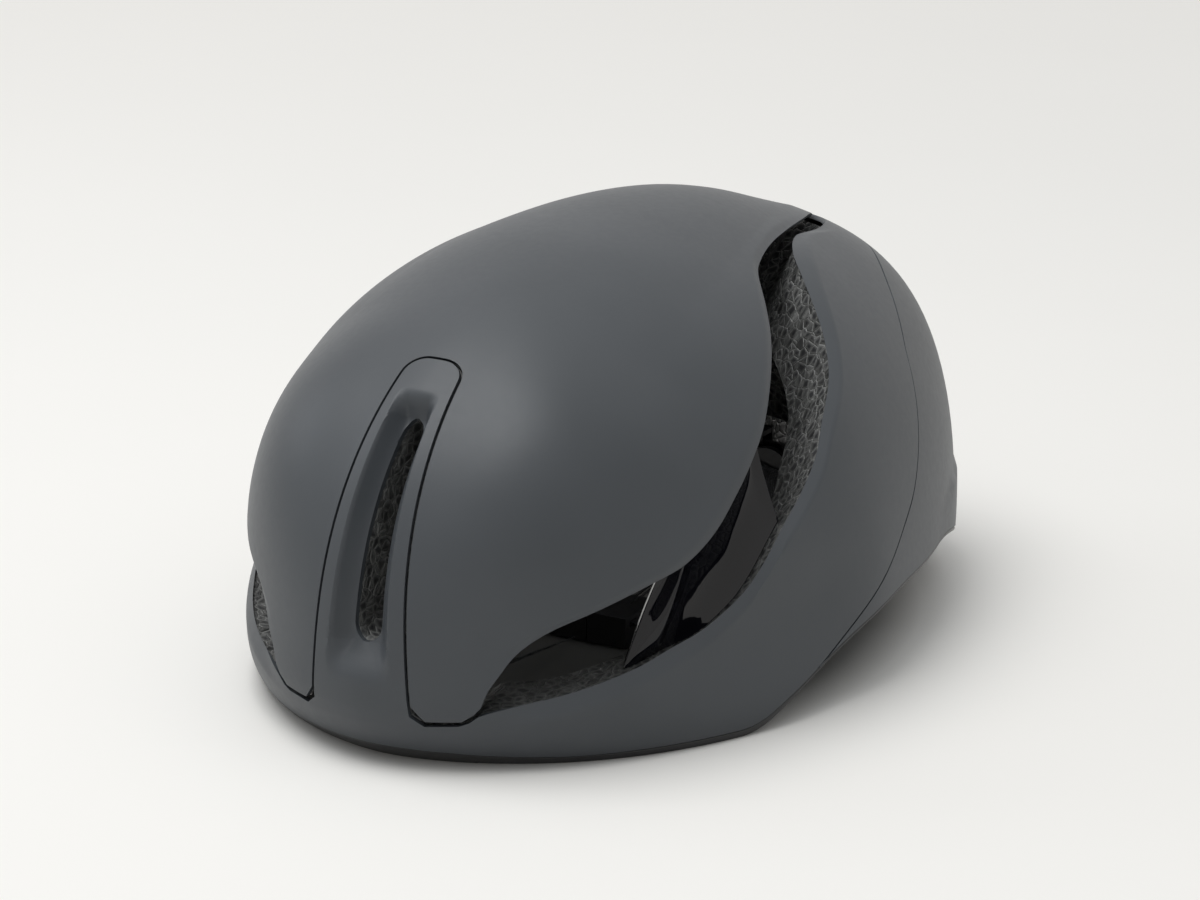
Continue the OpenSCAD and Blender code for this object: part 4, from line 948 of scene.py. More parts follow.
@dataclass
class OuterShells:
    """The three painted skins and the trim under them."""

    outer: OuterForm
    lines: Lines
    wardrobe: Wardrobe
    shell_t: float = 1.8
    top_cols: int = 56
    band_rows: int = 20
    rear_rows: int = 26
    tongue_cols: int = 26
    corner_rows: tuple[int, int] = (9, 8)
    slot_end_rows: int = 6
    top_row_steps: tuple[float, float] = (1.1, 1.4)
    tongue_row_steps: tuple[float, float, float] = (0.9, 1.3, 0.6)
    tongue_foot: tuple[float, float] = (-3.4, 0.6)
    leg_round: float = 1.4
    leg_round_run: float = 2
    notch_fade: float = 25
    crown_radius: float = 110
    band_radius: float = 115
    roll_drop: float = 1.1
    roll_w: float = 3.2
    roll_ends: tuple[float, ...] = (2, 8, 118, 14)
    chamfer_w: float = 5.0
    chamfer_drop: float = 2.2
    chamfer_inside: float = 0.2
    slot_low: float = 4.8
    slot_high: float = 34.0
    slot_share: float = 0.33
    funnel_share: float = 0.66
    slot_depth: float = 7.0
    slot_end: float = 2.4
    slot_fade: float = 3.0
    funnel_foot: tuple[float, float] = (0.4, 5.4)
    funnel_head: tuple[float, float] = (-1.0, 4.5)
    edge_round: float = 0.35
    trim_w: float = 9.0
    trim_set: float = 0.2
    trim_step: float = 1.5
    trim_round: float = 0.45
    port_turn: tuple[float, float] = (160.0, 175.0)
    port_lift: tuple[float, float] = (4.0, 14.0)
    port_steer: tuple[float, float] = (140, 12)
    port_index: int = 6
    port_count: int = 6
    foot_turn: float = 8.4
    side_knots: tuple[float, ...] = (12.5, 15, 24.5, 30, 60, 90, 120, 150, 160, 175, 180)
    side_step: float = 1.5
    rear_knots: tuple[float, ...] = (73.0, 77.0, 90.0, 120.0, 150.0, 160.0, 175.0, 180.0)
    rear_step: float = 1.25
    top_steps: tuple[float, ...] = (0.0, 1.2, 2.4, 3.7, 5.0, 6.4, 8.2)
    top_share: float = 0.6

    # Layout of the top shell

    def top_pitches(self, grow: float) -> Array:
        """Pitches of the top shell's rows, close together round the tongue's corner."""
        low = self.lines.leg_pitch + self.outer.arc(grow)
        high = self.lines.tail_pitch - self.outer.arc(grow)
        corner = self.lines.corner_pitches(self.lines.seam_gap / 2 + grow, self.corner_rows[0])
        below = even_steps((low, 0.0, 6.0, corner[0]), self.top_row_steps[0])
        above = even_steps((corner[-1], 60.0, 91.0, high), self.top_row_steps[1])
        return np.concatenate([below, corner[1:-1], above])

    def top_leans(self, pitch: Array, grow: float, setback: Array | float) -> Array:
        """Leans of the top shell's columns for each row."""
        cols = self.top_cols
        out = follow(self.lines.vent_edge, pitch) - setback
        reach = self.lines.seam_gap / 2 + grow
        inside = np.minimum(pitch, self.lines.tongue_pitch + self.outer.arc(reach))
        round_off = self.leg_round * (1 - ease((pitch - self.lines.leg_pitch) / self.leg_round_run))
        notch = self.lines.tongue_lean(inside, reach) + round_off
        first = mix(notch, out / cols, ease((pitch - self.lines.tongue_pitch) / self.notch_fade))
        share = np.concatenate([[0.0], np.linspace(0, 1, cols)])
        half = first[:, None] + (out - first)[:, None] * share[None, :]
        half[:, 0] = 0.0
        return np.concatenate([-half[:, :0:-1], half], axis=1)

    def top_cells(self, pitches: Array, grow: float) -> Array:
        """Cells of the top shell, less the notch for the tongue."""
        has = np.ones((len(pitches) - 1, 2 * self.top_cols), bool)
        top = self.lines.tongue_pitch + self.outer.arc(self.lines.seam_gap / 2 + grow)
        notch = pitches[:-1] < top - EDGE
        has[notch, self.top_cols - 1 : self.top_cols + 1] = False
        return has

    def top_shell(self) -> bpy.types.Object:
        """Painted skin over the crown."""
        pitches = self.top_pitches(0.0)
        leans = self.top_leans(pitches, 0.0, 0.0)
        ways = over_way(pitches[:, None] + 0 * leans, leans)
        edge = spanned(follow(self.lines.vent_edge, pitches)[:, None] - np.abs(leans), self.crown_radius)
        vent = window(pitches, *self.roll_ends)[:, None]
        roll = self.roll_drop * (1 - ease(edge / self.roll_w)) * vent
        outside, inside = self.outer.skin(ways, roll), self.outer.skin(ways, self.shell_t)
        return wall("Top shell", outside, inside, self.top_cells(pitches, 0.0))

    # Layout of the lower shell

    def ring_turns(self) -> tuple[Array, Array]:
        """Turns and tongue shares of the ring's columns for one half, from the front to the tail."""
        shares = np.linspace(0, 1, self.tongue_cols + 1)
        sides = even_steps(self.side_knots, self.side_step)
        turns = np.concatenate([shares * self.foot_turn, sides])
        return turns, np.concatenate([shares, np.ones(len(sides))])

    def both_halves(self, half: Array) -> tuple[Array, Array]:
        """Signs and half numbers of the columns all the way round."""
        count = len(half)
        order = np.concatenate([np.arange(count - 1, 0, -1), np.arange(0, count - 1), [count - 1]])
        signs = np.concatenate([-np.ones(count - 1), np.ones(count)])
        return signs[1:], order[1:]

    def tongue_pitches(self, grow: float) -> Array:
        """Pitches of the tongue's rows, close together at the slot's ends and the corner."""
        corner = self.lines.corner_pitches(-self.lines.seam_gap / 2 - grow, self.corner_rows[1])
        foot_step, slot_step, head_step = self.tongue_row_steps
        end = self.slot_end
        angles = np.linspace(0, math.pi / 2, self.slot_end_rows + 1)[:-1]
        low_end = self.slot_low + end * (1 - np.cos(angles))
        high_end = (self.slot_high - end * (1 - np.cos(angles)))[::-1]
        below = even_steps((*self.tongue_foot, self.slot_low), foot_step)[:-1]
        middle = even_steps((self.slot_low + end, self.slot_high - end), slot_step)
        above = even_steps((self.slot_high, corner[0]), head_step)[1:]
        return np.concatenate([below, low_end, middle, high_end, above, corner[1:]])

    def slot_half(self, pitch: Array) -> Array:
        """Half width of the slot as a share of the tongue, with round ends."""
        near = np.minimum(pitch - self.slot_low, self.slot_high - pitch) / self.slot_end
        return self.slot_share * np.sqrt(np.clip(1 - (1 - np.clip(near, 0.02, 1)) ** 2, 0.03, 1))

    def tongue_shares(self, pitch: Array, shares: Array) -> Array:
        """Shares of the tongue's columns for each row, steered round the slot's ends."""
        cut = round(self.slot_share * self.tongue_cols)
        half = self.slot_half(pitch)
        away = ease(np.maximum(self.slot_low - pitch, pitch - self.slot_high) / self.slot_fade)
        half = mix(half, self.slot_share, np.where(away > 0, away, 0.0))
        k = np.arange(self.tongue_cols + 1)
        inside = half[:, None] * (k / cut)[None, :]
        outside = half[:, None] + (1 - half[:, None]) * ((k - cut) / (self.tongue_cols - cut))[None, :]
        columns = np.minimum(np.round(shares * self.tongue_cols).astype(int), self.tongue_cols)
        return np.where(k <= cut, inside, outside)[:, columns]

    def funnel(self, pitch: Array, share: Array) -> Array:
        """Depth of the smooth recess round the slot."""
        out = np.clip((share - self.slot_share) / (self.funnel_share - self.slot_share), 0, 1)
        across = (1 - out) * (1 + 0.4 * out)
        ahead, fall = self.funnel_head
        return self.slot_depth * across * window(pitch, *self.funnel_foot, self.slot_high + ahead, fall)

    def ring(
        self, grow: float, low: Callable[[Array], Array], top: Callable[[Array], Array],
        place: Callable[[Array, Array, Array], Array], top_steps: Sequence[float], ports: bool = False,
    ) -> tuple[Array, Array]:
        """Sheet of points round the helmet and up the tongue.

        Args:
            grow: how far the tongue's edge stops short of its seam.
            low: lower lift at each turn.
            top: upper lift at each turn.
            place: puts directions, depths and distances from the top onto a surface.
            top_steps: distances of the uppermost rows from the top edge, in millimetres.
            ports: whether rows and columns are steered round the exhaust ports.

        Returns:
            The points, and which cells exist.
        """
        half_turns, half_shares = self.ring_turns()
        signs, order = self.both_halves(half_turns)
        turns, shares = signs * half_turns[order], half_shares[order]
        lows, tops = low(turns), top(turns)
        steps = np.asarray(top_steps)
        span = spanned(tops - lows, self.band_radius)
        most = span[:, None] * np.linspace(0.0, self.top_share, len(steps))[None, :] + EDGE
        near = tops[:, None] - np.minimum(steps[None, :], most) / spanned(1.0, self.band_radius)
        rest = np.linspace(0, 1, self.band_rows - len(steps) + 2)[:-1]
        below = mix(lows[:, None], near[:, -1:], rest[None, :])
        lifts = np.concatenate([below, near[:, ::-1]], axis=1)
        wide = np.repeat(turns[:, None], lifts.shape[1], 1)
        if ports:
            wide, lifts = self.round_port(wide, lifts)
        ways = round_way(wide, lifts)
        from_top = np.maximum(spanned(tops[:, None] - lifts, self.band_radius), 0)
        beside_vent = self.lines.side_vent(turns)[:, None] > 0
        band = place(ways, 0.0 * lifts, np.where(beside_vent, from_top, FAR_MM))
        pitches = self.tongue_pitches(grow)
        leans = self.lines.tongue_lean(pitches, -self.lines.seam_gap / 2 - grow)
        steered = self.tongue_shares(pitches, shares)
        lean = signs[:, None] * (steered * leans[:, None]).T
        grid_pitch = np.repeat(pitches[None, :], len(turns), 0)
        depth = self.funnel(grid_pitch, steered.T)
        tongue = place(over_way(grid_pitch, lean), depth, FAR_MM + 0 * depth)
        sheet = np.concatenate([band, tongue], axis=1)
        return sheet, self.ring_cells(order, signs, half_turns, lifts.shape[1], pitches, ports)

    def ring_cells(
        self, order: Array, signs: Array, half_turns: Array, band_points: int, pitches: Array, ports: bool
    ) -> Array:
        """Which cells of the ring exist."""
        rows, cols = len(order), band_points + len(pitches) - 1
        after = np.roll(order, -1)
        nearer = np.minimum(order, after)
        has = np.ones((rows, cols), bool)
        in_tongue = (nearer < self.tongue_cols) & (np.maximum(order, after) <= self.tongue_cols)
        has[~in_tongue, band_points - 1 :] = False
        cut = round(self.slot_share * self.tongue_cols)
        in_slot = in_tongue & (nearer < cut)
        slot_rows = (pitches[:-1] >= self.slot_low - EDGE) & (pitches[1:] <= self.slot_high + EDGE)
        has[np.ix_(in_slot, np.concatenate([np.zeros(band_points, bool), slot_rows]))] = False
        if ports:
            near, far = half_turns[nearer], half_turns[np.maximum(order, after)]
            at_port = self.beside_port(near, far) & (signs == np.roll(signs, -1))
            has[np.ix_(at_port, self.port_rows(cols))] = False
        return has

    def beside_port(self, near: Array, far: Array) -> Array:
        """Whether cells between two turns lie in an exhaust port."""
        first, last = self.port_turn
        return (near >= first - EDGE) & (far <= last + EDGE)

    def port_rows(self, cols: int) -> Array:
        """Rows of cells that the exhaust ports take away."""
        rows = np.zeros(cols, bool)
        rows[self.port_index : self.port_index + self.port_count] = True
        return rows

    def round_port(self, turns: Array, lifts: Array) -> tuple[Array, Array]:
        """Steers a band's rows and columns round the exhaust ports, with round corners."""
        rows = lifts.shape[1]
        index = np.arange(rows)
        low, high = self.port_index, self.port_index + self.port_count
        foot, head = lifts[:, :1], lifts[:, -1:]
        sill, lintel = self.port_lift
        under = mix(foot, sill, np.clip(index / low, 0, 1)[None, :])
        inside = mix(sill, lintel, np.clip((index - low) / self.port_count, 0, 1)[None, :])
        over = mix(lintel, head, np.clip((index - high) / (rows - 1 - high), 0, 1)[None, :])
        steered = np.where(index <= low, under, np.where(index <= high, inside + 0 * foot, over))
        start, run = self.port_steer
        lifts = mix(lifts, steered, ease((np.abs(turns) - start) / run))
        mid_turn, half_turn = sum(self.port_turn) / 2, (self.port_turn[1] - self.port_turn[0]) / 2
        mid_lift, half_lift = (sill + lintel) / 2, (lintel - sill) / 2
        u, v = (np.abs(turns) - mid_turn) / half_turn, (lifts - mid_lift) / half_lift
        inner_u = np.minimum(np.abs(u), 2)
        moved_u, moved_v = soft_corner(np.sign(u) * inner_u, v)
        close = (np.abs(u) < 2) & (np.abs(v) < 2) & (np.abs(turns) < NEAR_TAIL)
        turns = np.where(close, np.sign(turns) * (mid_turn + moved_u * half_turn), turns)
        return turns, np.where(close, mid_lift + moved_v * half_lift, lifts)

    def band_low(self, turn: Array, drop: float) -> Array:
        """Lower lift of the lower shell: the rim, or the seam over the rear shell."""
        rim = self.outer.lift_at(turn, self.lines.body_low(turn), drop)
        return np.maximum(rim, self.lines.seam_lift(turn) + self.outer.arc(self.lines.seam_gap / 2))

    def lower_shell(self) -> bpy.types.Object:
        """Painted skin round the brow and up the tongue, with a chamfer along the side vents."""

        def chamfer(from_top: Array) -> Array:
            """Depth of the chamfer at a distance from the vent's edge."""
            return self.chamfer_drop * np.clip(1 - from_top / self.chamfer_w, 0, 1)

        def upper(turn: Array) -> Array:
            """Upper lift at each turn."""
            return follow(self.lines.band_edge, np.abs(turn))

        def outside(d: Array, depth: Array, from_top: Array) -> Array:
            """Painted face."""
            return self.outer.skin(d, depth + chamfer(from_top) * self.vent_here(d))

        def inside(d: Array, depth: Array, from_top: Array) -> Array:
            """Hidden face."""
            cut = self.chamfer_inside * chamfer(from_top) * self.vent_here(d)
            return self.outer.skin(d, self.shell_t + depth + cut)

        out, has = self.ring(0.0, lambda t: self.band_low(t, 0.0), upper, outside, self.top_steps)
        inn, _ = self.ring(0.0, lambda t: self.band_low(t, self.shell_t), upper, inside, self.top_steps)
        return wall("Lower shell", out, inn, has, ring=True)

    def vent_here(self, d: Array) -> Array:
        """How far a direction lies beside the crescent vent, from 0 to 1."""
        return self.lines.side_vent(np.degrees(np.arctan2(d[..., 0], -d[..., 1])))

    def rear_shell(self) -> bpy.types.Object:
        """Painted skin round the tail, with its two exhaust ports."""
        half = even_steps(self.rear_knots, self.rear_step)
        turns = np.concatenate([half, 360 - half[-2::-1]])
        signed = np.where(turns > 180, turns - 360, turns)

        def sheet(drop: float) -> Array:
            """Points at one depth."""
            low = self.outer.lift_at(signed, self.lines.body_low(signed), drop)
            top = self.lines.seam_lift(signed) - self.outer.arc(self.lines.seam_gap / 2)
            lifts = mix(low[:, None], top[:, None], np.linspace(0, 1, self.rear_rows + 1)[None, :])
            wide, lifts = self.round_port(np.repeat(signed[:, None], self.rear_rows + 1, 1), lifts)
            return self.outer.skin(round_way(wide, lifts), drop)

        has = np.ones((len(turns) - 1, self.rear_rows), bool)
        a, b = np.abs(signed[:-1]), np.abs(signed[1:])
        at_port = self.beside_port(np.minimum(a, b), np.maximum(a, b))
        has[np.ix_(at_port, self.port_rows(self.rear_rows))] = False
        return wall("Rear shell", sheet(0.0), sheet(self.shell_t), has)

    def rim_trim(self) -> bpy.types.Object:
        """Black ring that the helmet stands on."""
        turns = np.arange(-180, 180, self.trim_step)
        low, high = self.lines.rim_z(turns), self.lines.trim_top(turns)
        sheets = []
        for inset in (0.0, self.trim_w):
            rows = []
            for share in (0.0, 0.5, 1.0):
                z = mix(low, high, share)
                ways = round_way(turns, self.outer.lift_at(turns, z, self.trim_set))
                p = self.outer.skin(ways, self.trim_set)
                inward = np.stack([-np.sin(np.radians(turns)), np.cos(np.radians(turns)), 0 * turns], -1)
                rows.append(np.concatenate([(p + inset * inward)[:, :2], z[:, None]], axis=1))
            sheets.append(np.stack(rows, 1))
        return wall("Rim trim", sheets[0], sheets[1], ring=True)

    def make(self) -> None:
        """Builds and dresses the skins and the trim."""
        for piece, finish, node, width in (
            (self.top_shell(), Finish.SHELL, "top_shell", self.edge_round),
            (self.lower_shell(), Finish.SHELL, "lower_shell", self.edge_round),
            (self.rear_shell(), Finish.SHELL, "rear_shell", self.edge_round),
            (self.rim_trim(), Finish.TRIM, "rim_trim", self.trim_round),
        ):
            round_edges(piece, width)
            self.wardrobe.fit(piece, finish, "helmet", node)


# Foam


@dataclass
class FoamCore:
    """The two bead-foam mouldings under the skins."""

    shells: OuterShells
    head: HeadSpace
    wardrobe: Wardrobe
    bond_gap: float = 0.3
    crown_setback: float = 1.0
    crown_extra: float = 0.9
    crown_flare: float = 8.0
    crown_flare_ends: tuple[float, ...] = (-1, 9, 126, 12)
    crown_extra_from: tuple[float, float] = (108, 10)
    base_setback: float = 0.8
    base_flare: float = 3.0
    base_flare_from: tuple[float, float] = (36, 14)
    tail_slack: float = 1.6
    slack_from: tuple[float, float] = (126, 18)
    slack_lift: float = 28
    slack_half_lift: float = 30
    top_steps: tuple[float, float] = (0.0, 2.0)
    edge_round: float = 1.1
    edge_angle: float = 50

    @property
    def drop(self) -> float:
        """Depth of the foam's outer face."""
        return self.shells.shell_t + self.bond_gap

    @property
    def reach(self) -> float:
        """How much further than the shells the foam reaches into each seam."""
        return (self.shells.lines.seam_gap - self.shells.lines.small_gap) / 2

    def crown_edge(self, pitch: Array, share: float) -> Array:
        """How far the crown foam stops short of the vent, from its outer face to its inner."""
        vent = window(pitch, *self.crown_flare_ends)
        start, run = self.crown_extra_from
        extra = self.crown_extra * ease((pitch - start) / run)
        return self.crown_setback + extra + self.crown_flare * vent * share

    def crown(self) -> bpy.types.Object:
        """Foam over the crown, with air channels in its inner face."""
        pitches = self.shells.top_pitches(-self.reach)
        outer_lean = self.shells.top_leans(pitches, -self.reach, self.crown_edge(pitches, 0.0))
        inner_lean = self.shells.top_leans(pitches, -self.reach, self.crown_edge(pitches, 1.0))
        wide = pitches[:, None] + 0 * outer_lean
        out = self.shells.outer.skin(over_way(wide, outer_lean), self.drop)
        inn = self.head.wall(over_way(wide, inner_lean), self.head.channel(wide, inner_lean))
        return wall("Crown foam", out, inn, self.shells.top_cells(pitches, -self.reach))

    def base_top(self, turn: Array, flare: float) -> Array:
        """Upper lift of the base foam."""
        lines = self.shells.lines
        vent = lines.side_vent(turn)
        edge = mix(self.shells.outer.arc(self.reach), -self.base_setback - flare, vent)
        return follow(lines.band_edge, np.abs(turn)) + edge

    def flare_at(self, turn: Array) -> Array:
        """How much lower the base foam's top is at its inner edge; level at the front."""
        start, run = self.base_flare_from
        return self.base_flare * ease((np.abs(turn) - start) / run)

    def tail_gap(self, way: Array) -> Array:
        """How far the bond line opens under the tail's shoulder."""
        turn = np.degrees(np.arctan2(np.abs(way[..., 0]), -way[..., 1]))
        lift = np.degrees(np.arcsin(way[..., 2]))
        start, run = self.slack_from
        upward = bell((lift - self.slack_lift) / self.slack_half_lift)
        return self.tail_slack * ease((turn - start) / run) * upward

    def base(self) -> bpy.types.Object:
        """Foam round the head, with the slot and the exhaust ports through it."""
        s = self.shells

        def outside(d: Array, depth: Array, from_top: Array) -> Array:
            """Face under the skins."""
            return s.outer.skin(d, self.drop + depth + self.tail_gap(d))

        def inside(d: Array, depth: Array, from_top: Array) -> Array:
            """Face towards the head."""
            return self.head.wall(d)

        out, has = s.ring(
            -self.reach, lambda t: s.outer.lift_at(t, s.lines.body_low(t), self.drop),
            lambda t: self.base_top(t, 0.0), outside, self.top_steps, ports=True,
        )
        inn, _ = s.ring(
            -self.reach, lambda t: self.head.lift_at(t, s.lines.body_low(t)),
            lambda t: self.base_top(t, self.flare_at(t)), inside, self.top_steps, ports=True,
        )
        return wall("Base foam", out, inn, has, ring=True)

    def make(self) -> None:
        """Builds and dresses the foam."""
        for piece, node in ((self.crown(), "crown_foam"), (self.base(), "base_foam")):
            round_edges(piece, self.edge_round, angle=self.edge_angle)
            self.wardrobe.fit(piece, Finish.FOAM, "helmet", node)


# Bridges


@dataclass
class VentBridges:
    """Glossy bridges across the side vents: a ridged pillar in front of a broad scoop."""

    foam: FoamCore
    wardrobe: Wardrobe
    pitch: tuple[float, float] = (21.5, 67.0)
    turn: tuple[float, float] = (34.0, 68.0)
    thickness: float = 2.4
    inset: float = 0.2
    base_inset: float = 0.36
    rows: int = 90
    cols: int = 26
    dense: float = 0.3
    bow_power: float = 0.8
    edge_round: float = 0.7
    edge_angle: float = 35
    profile: Knots = (
        (0, 2.5), (0.05, -0.5), (0.125, -5.2), (0.15, -4.6), (0.2, 0.8), (0.3, 3.6), (0.7, 4), (0.93, 4),
        (1, 1.8),
    )

    def crown_side(self, pitch: Array) -> Array:
        """Places on the crown foam's face inside the vent."""
        s, head = self.foam.shells, self.foam.head
        edge = follow(s.lines.vent_edge, pitch)
        a = s.outer.skin(over_way(pitch, edge - self.foam.crown_edge(pitch, 0.0)), self.foam.drop)
        lean = edge - self.foam.crown_edge(pitch, 1.0)
        b = head.wall(over_way(pitch, lean), head.channel(pitch, lean))
        return a + self.inset * (b - a)

    def base_side(self, turn: Array) -> Array:
        """Places on the base foam's face inside the vent."""
        s, head = self.foam.shells, self.foam.head
        a = s.outer.skin(round_way(turn, self.foam.base_top(turn, 0.0)), self.foam.drop)
        b = head.wall(round_way(turn, self.foam.base_top(turn, self.foam.flare_at(turn))))
        return a + self.base_inset * (b - a)

    def sheet(self, side: Side, extra: float) -> Array:
        """One face of the bridge."""
        half = self.rows // 2
        s = np.concatenate([np.linspace(0, self.dense, half), np.linspace(self.dense, 1, half + 1)[1:]])
        t = np.linspace(0, 1, self.cols)
        a = self.crown_side(mix(self.pitch[0], self.pitch[1], s))[:, None, :]
        b = self.base_side(mix(self.turn[0], self.turn[1], s))[:, None, :]
        gap = self.foam.shells.lines.small_gap / np.linalg.norm(b - a, axis=-1, keepdims=True)
        p = a + mix(gap, 1 - gap, t[None, :, None]) * (b - a)
        bow = np.sin(np.pi * t)[None, :] ** self.bow_power
        sink = follow(self.profile, s)[:, None]
        p = p - (bow * sink + extra)[..., None] * unit(p - self.foam.shells.outer.centre)
        p[..., 0] *= side.value
        return p

    def make(self) -> None:
        """Builds and dresses both bridges."""
        for side in Side:
            word = side.name.lower()
            piece = wall("Vent bridge " + word, self.sheet(side, 0.0), self.sheet(side, self.thickness))
            round_edges(piece, self.edge_round, angle=self.edge_angle)
            self.wardrobe.fit(piece, Finish.BRIDGE, "helmet", "vent_bridge_" + word)


# Pads


@dataclass
class ComfortPads:
    """Knitted comfort pads: a pressed border round a crowned, channelled middle."""

    head: HeadSpace
    wardrobe: Wardrobe
    stitching: Stitching
    thick: float = 6.0
    lift: float = 1.35
    border: float = 0.14
    border_t: float = 1.3
    along_draw: float = 0.015
    across_draw: float = 0.08
    channels: float = 0.22
    channel_w: float = 0.12
    squareness: float = 8.0
    fill_pressure: float = 1.2
    fill_frames: int = 8
    fill_cap: float = 0.5
    edge_round: float = 0.35
    edge_angle: float = 45
    seam_points: int = 160
    seam_inset: tuple[float, float] = (0.985, 0.88)
    seam_proud: float = 0.12
    brow_half_turn: float = 45.5
    brow_lifts: tuple[float, float] = (-11.3, -4.6)
    crown_pitches: tuple[float, float] = (48, 118)
    crown_lean: float = 12
    crown_half_lean: float = 4.6
    side_turn: float = 104
    side_half_turn: float = 14
    side_lifts: tuple[float, float] = (19, 29)
    nape_turn: float = 24
    nape_half_turn: float = 11
    nape_half_h: float = 11
    nape_drop: float = 6
    nape_gap: float = 0.3
    nape_t: float = 4.0
    cradle_r: float = 76.0
    cradle_t: float = 2.4
    cradle_face: float = 72.4
    pivot_z: float = 39.0

    def puff(self, u: Array, v: Array, thick: float, tufts: int) -> Array:
        """Height of a pad's face over its back."""
        rise = (1 - np.abs(u) ** 6) * (1 - np.abs(v) ** 3)
        crown = ease(rise / 0.75)
        groove = np.exp(-(((u * tufts) % 1 - 0.5) / self.channel_w) ** 2)
        channel = 1 - self.channels * groove * (1 - v**2)
        return self.border_t + (thick - self.border_t) * crown * channel

    def grid(self, rows: int, cols: int) -> tuple[Array, Array]:
        """Places over a pad, from -1 to 1 each way, drawn in along the sides."""
        u, v = np.meshgrid(np.linspace(-1, 1, rows), np.linspace(-1, 1, cols), indexing="ij")
        su, sv = soft_corner(u, v, self.squareness)
        return su * (1 - self.along_draw * (1 - v * v)), sv * (1 - self.across_draw * (1 - u * u))

    def swell(self, piece: bpy.types.Object) -> None:
        """Fills the pad a little by a cloth simulation, and keeps the result."""
        before = np.array([p.co[:] for p in piece.data.vertices])
        cloth = piece.modifiers.new("Fill", "CLOTH")
        cloth.settings.use_pressure = True
        cloth.settings.uniform_pressure_force = self.fill_pressure
        cloth.settings.effector_weights.gravity = 0
        cloth.settings.quality = 4
        scene = bpy.context.scene
        for frame in range(self.fill_frames):
            scene.frame_set(frame + 1)
        shape = piece.evaluated_get(bpy.context.evaluated_depsgraph_get()).data
        after = np.array([p.co[:] for p in shape.vertices])
        move = after - before
        far = np.linalg.norm(move, axis=1, keepdims=True)
        move *= np.minimum(1, self.fill_cap * MM / np.maximum(far, 1e-9))
        piece.modifiers.remove(cloth)
        piece.data.vertices.foreach_set("co", (before + move).ravel())
        piece.data.update()
        scene.frame_set(1)

    def cushion(
        self, name: str, body: str, node: str, at: Callable[[Array, Array, Array], Array],
        shape: tuple[int, int], thick: float, tufts: int,
    ) -> None:
        """Builds one pad with its border stitches.

        Args:
            name: the piece's name.
            body: the body that carries it.
            node: the node it stands for.
            at: puts pad places and heights onto the helmet.
            shape: rows and columns of points.
            thick: height at the crown.
            tufts: how many channels cross it.
        """
        u, v = self.grid(*shape)
        front = at(u, v, self.puff(u, v, thick, tufts))
        piece = wall(name, front, at(u, v, 0 * u))
        self.swell(piece)
        round_edges(piece, self.edge_round, 2, self.edge_angle)
        self.wardrobe.fit(piece, Finish.PAD, body, node)
        a = np.linspace(0, 2 * np.pi, self.seam_points + 1)
        box = np.maximum(np.abs(np.cos(a)), np.abs(np.sin(a)))
        lu, lv = soft_corner(np.cos(a) / box, np.sin(a) / box, self.squareness)
        lu, lv = lu * self.seam_inset[0], lv * self.seam_inset[1]
        along = lu * (1 - self.along_draw * (1 - lv**2))
        across = lv * (1 - self.across_draw * (1 - lu**2))
        line = at(along, across, self.puff(lu, lv, thick, tufts) + self.seam_proud)
        thread = self.stitching.sew(name + " stitches", [line], self.wardrobe.materials[Finish.PAD])
        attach(thread, body)

    def make(self) -> None:
        """Builds every pad."""
        head, lift = self.head, self.lift

        def brow(u: Array, v: Array, h: Array) -> Array:
            """Places on the brow pad."""
            way = round_way(self.brow_half_turn * u, mix(*self.brow_lifts, (v + 1) / 2))
            return head.wall(way, -lift - h)

        self.cushion("Brow pad", "helmet", "brow_pad", brow, (121, 21), self.thick, 5)
        for side in Side:
            word = side.name.lower()

            def crown(u: Array, v: Array, h: Array, s: int = side.value) -> Array:
                """Places on a crown pad."""
                lean = s * self.crown_lean - self.crown_half_lean * v
                return head.wall(over_way(mix(*self.crown_pitches, (u + 1) / 2), lean), -lift - h)

            def flank(u: Array, v: Array, h: Array, s: int = side.value) -> Array:
                """Places on a side pad."""
                turn = s * self.side_turn + self.side_half_turn * u
                return head.wall(round_way(turn, mix(*self.side_lifts, (v + 1) / 2)), -lift - h)

            def nape(u: Array, v: Array, h: Array, s: int = side.value) -> Array:
                """Places on a nape pad."""
                a = np.radians(s * self.nape_turn - self.nape_half_turn * u)
                r = self.cradle_r - self.cradle_t - self.nape_gap - h
                mid, z = self.cradle_face - self.cradle_r, self.pivot_z - self.nape_drop
                return np.stack([r * np.sin(a), mid + r * np.cos(a), z + self.nape_half_h * v], -1)

            self.cushion("Crown pad " + word, "helmet", "crown_pad_" + word, crown, (101, 19), self.thick, 4)
            self.cushion("Side pad " + word, "helmet", "side_pad_" + word, flank, (51, 21), self.thick, 2)
            self.cushion("Nape pad " + word, "cradle", "nape_pad_" + word, nape, (41, 31), self.nape_t, 2)


# Webbing


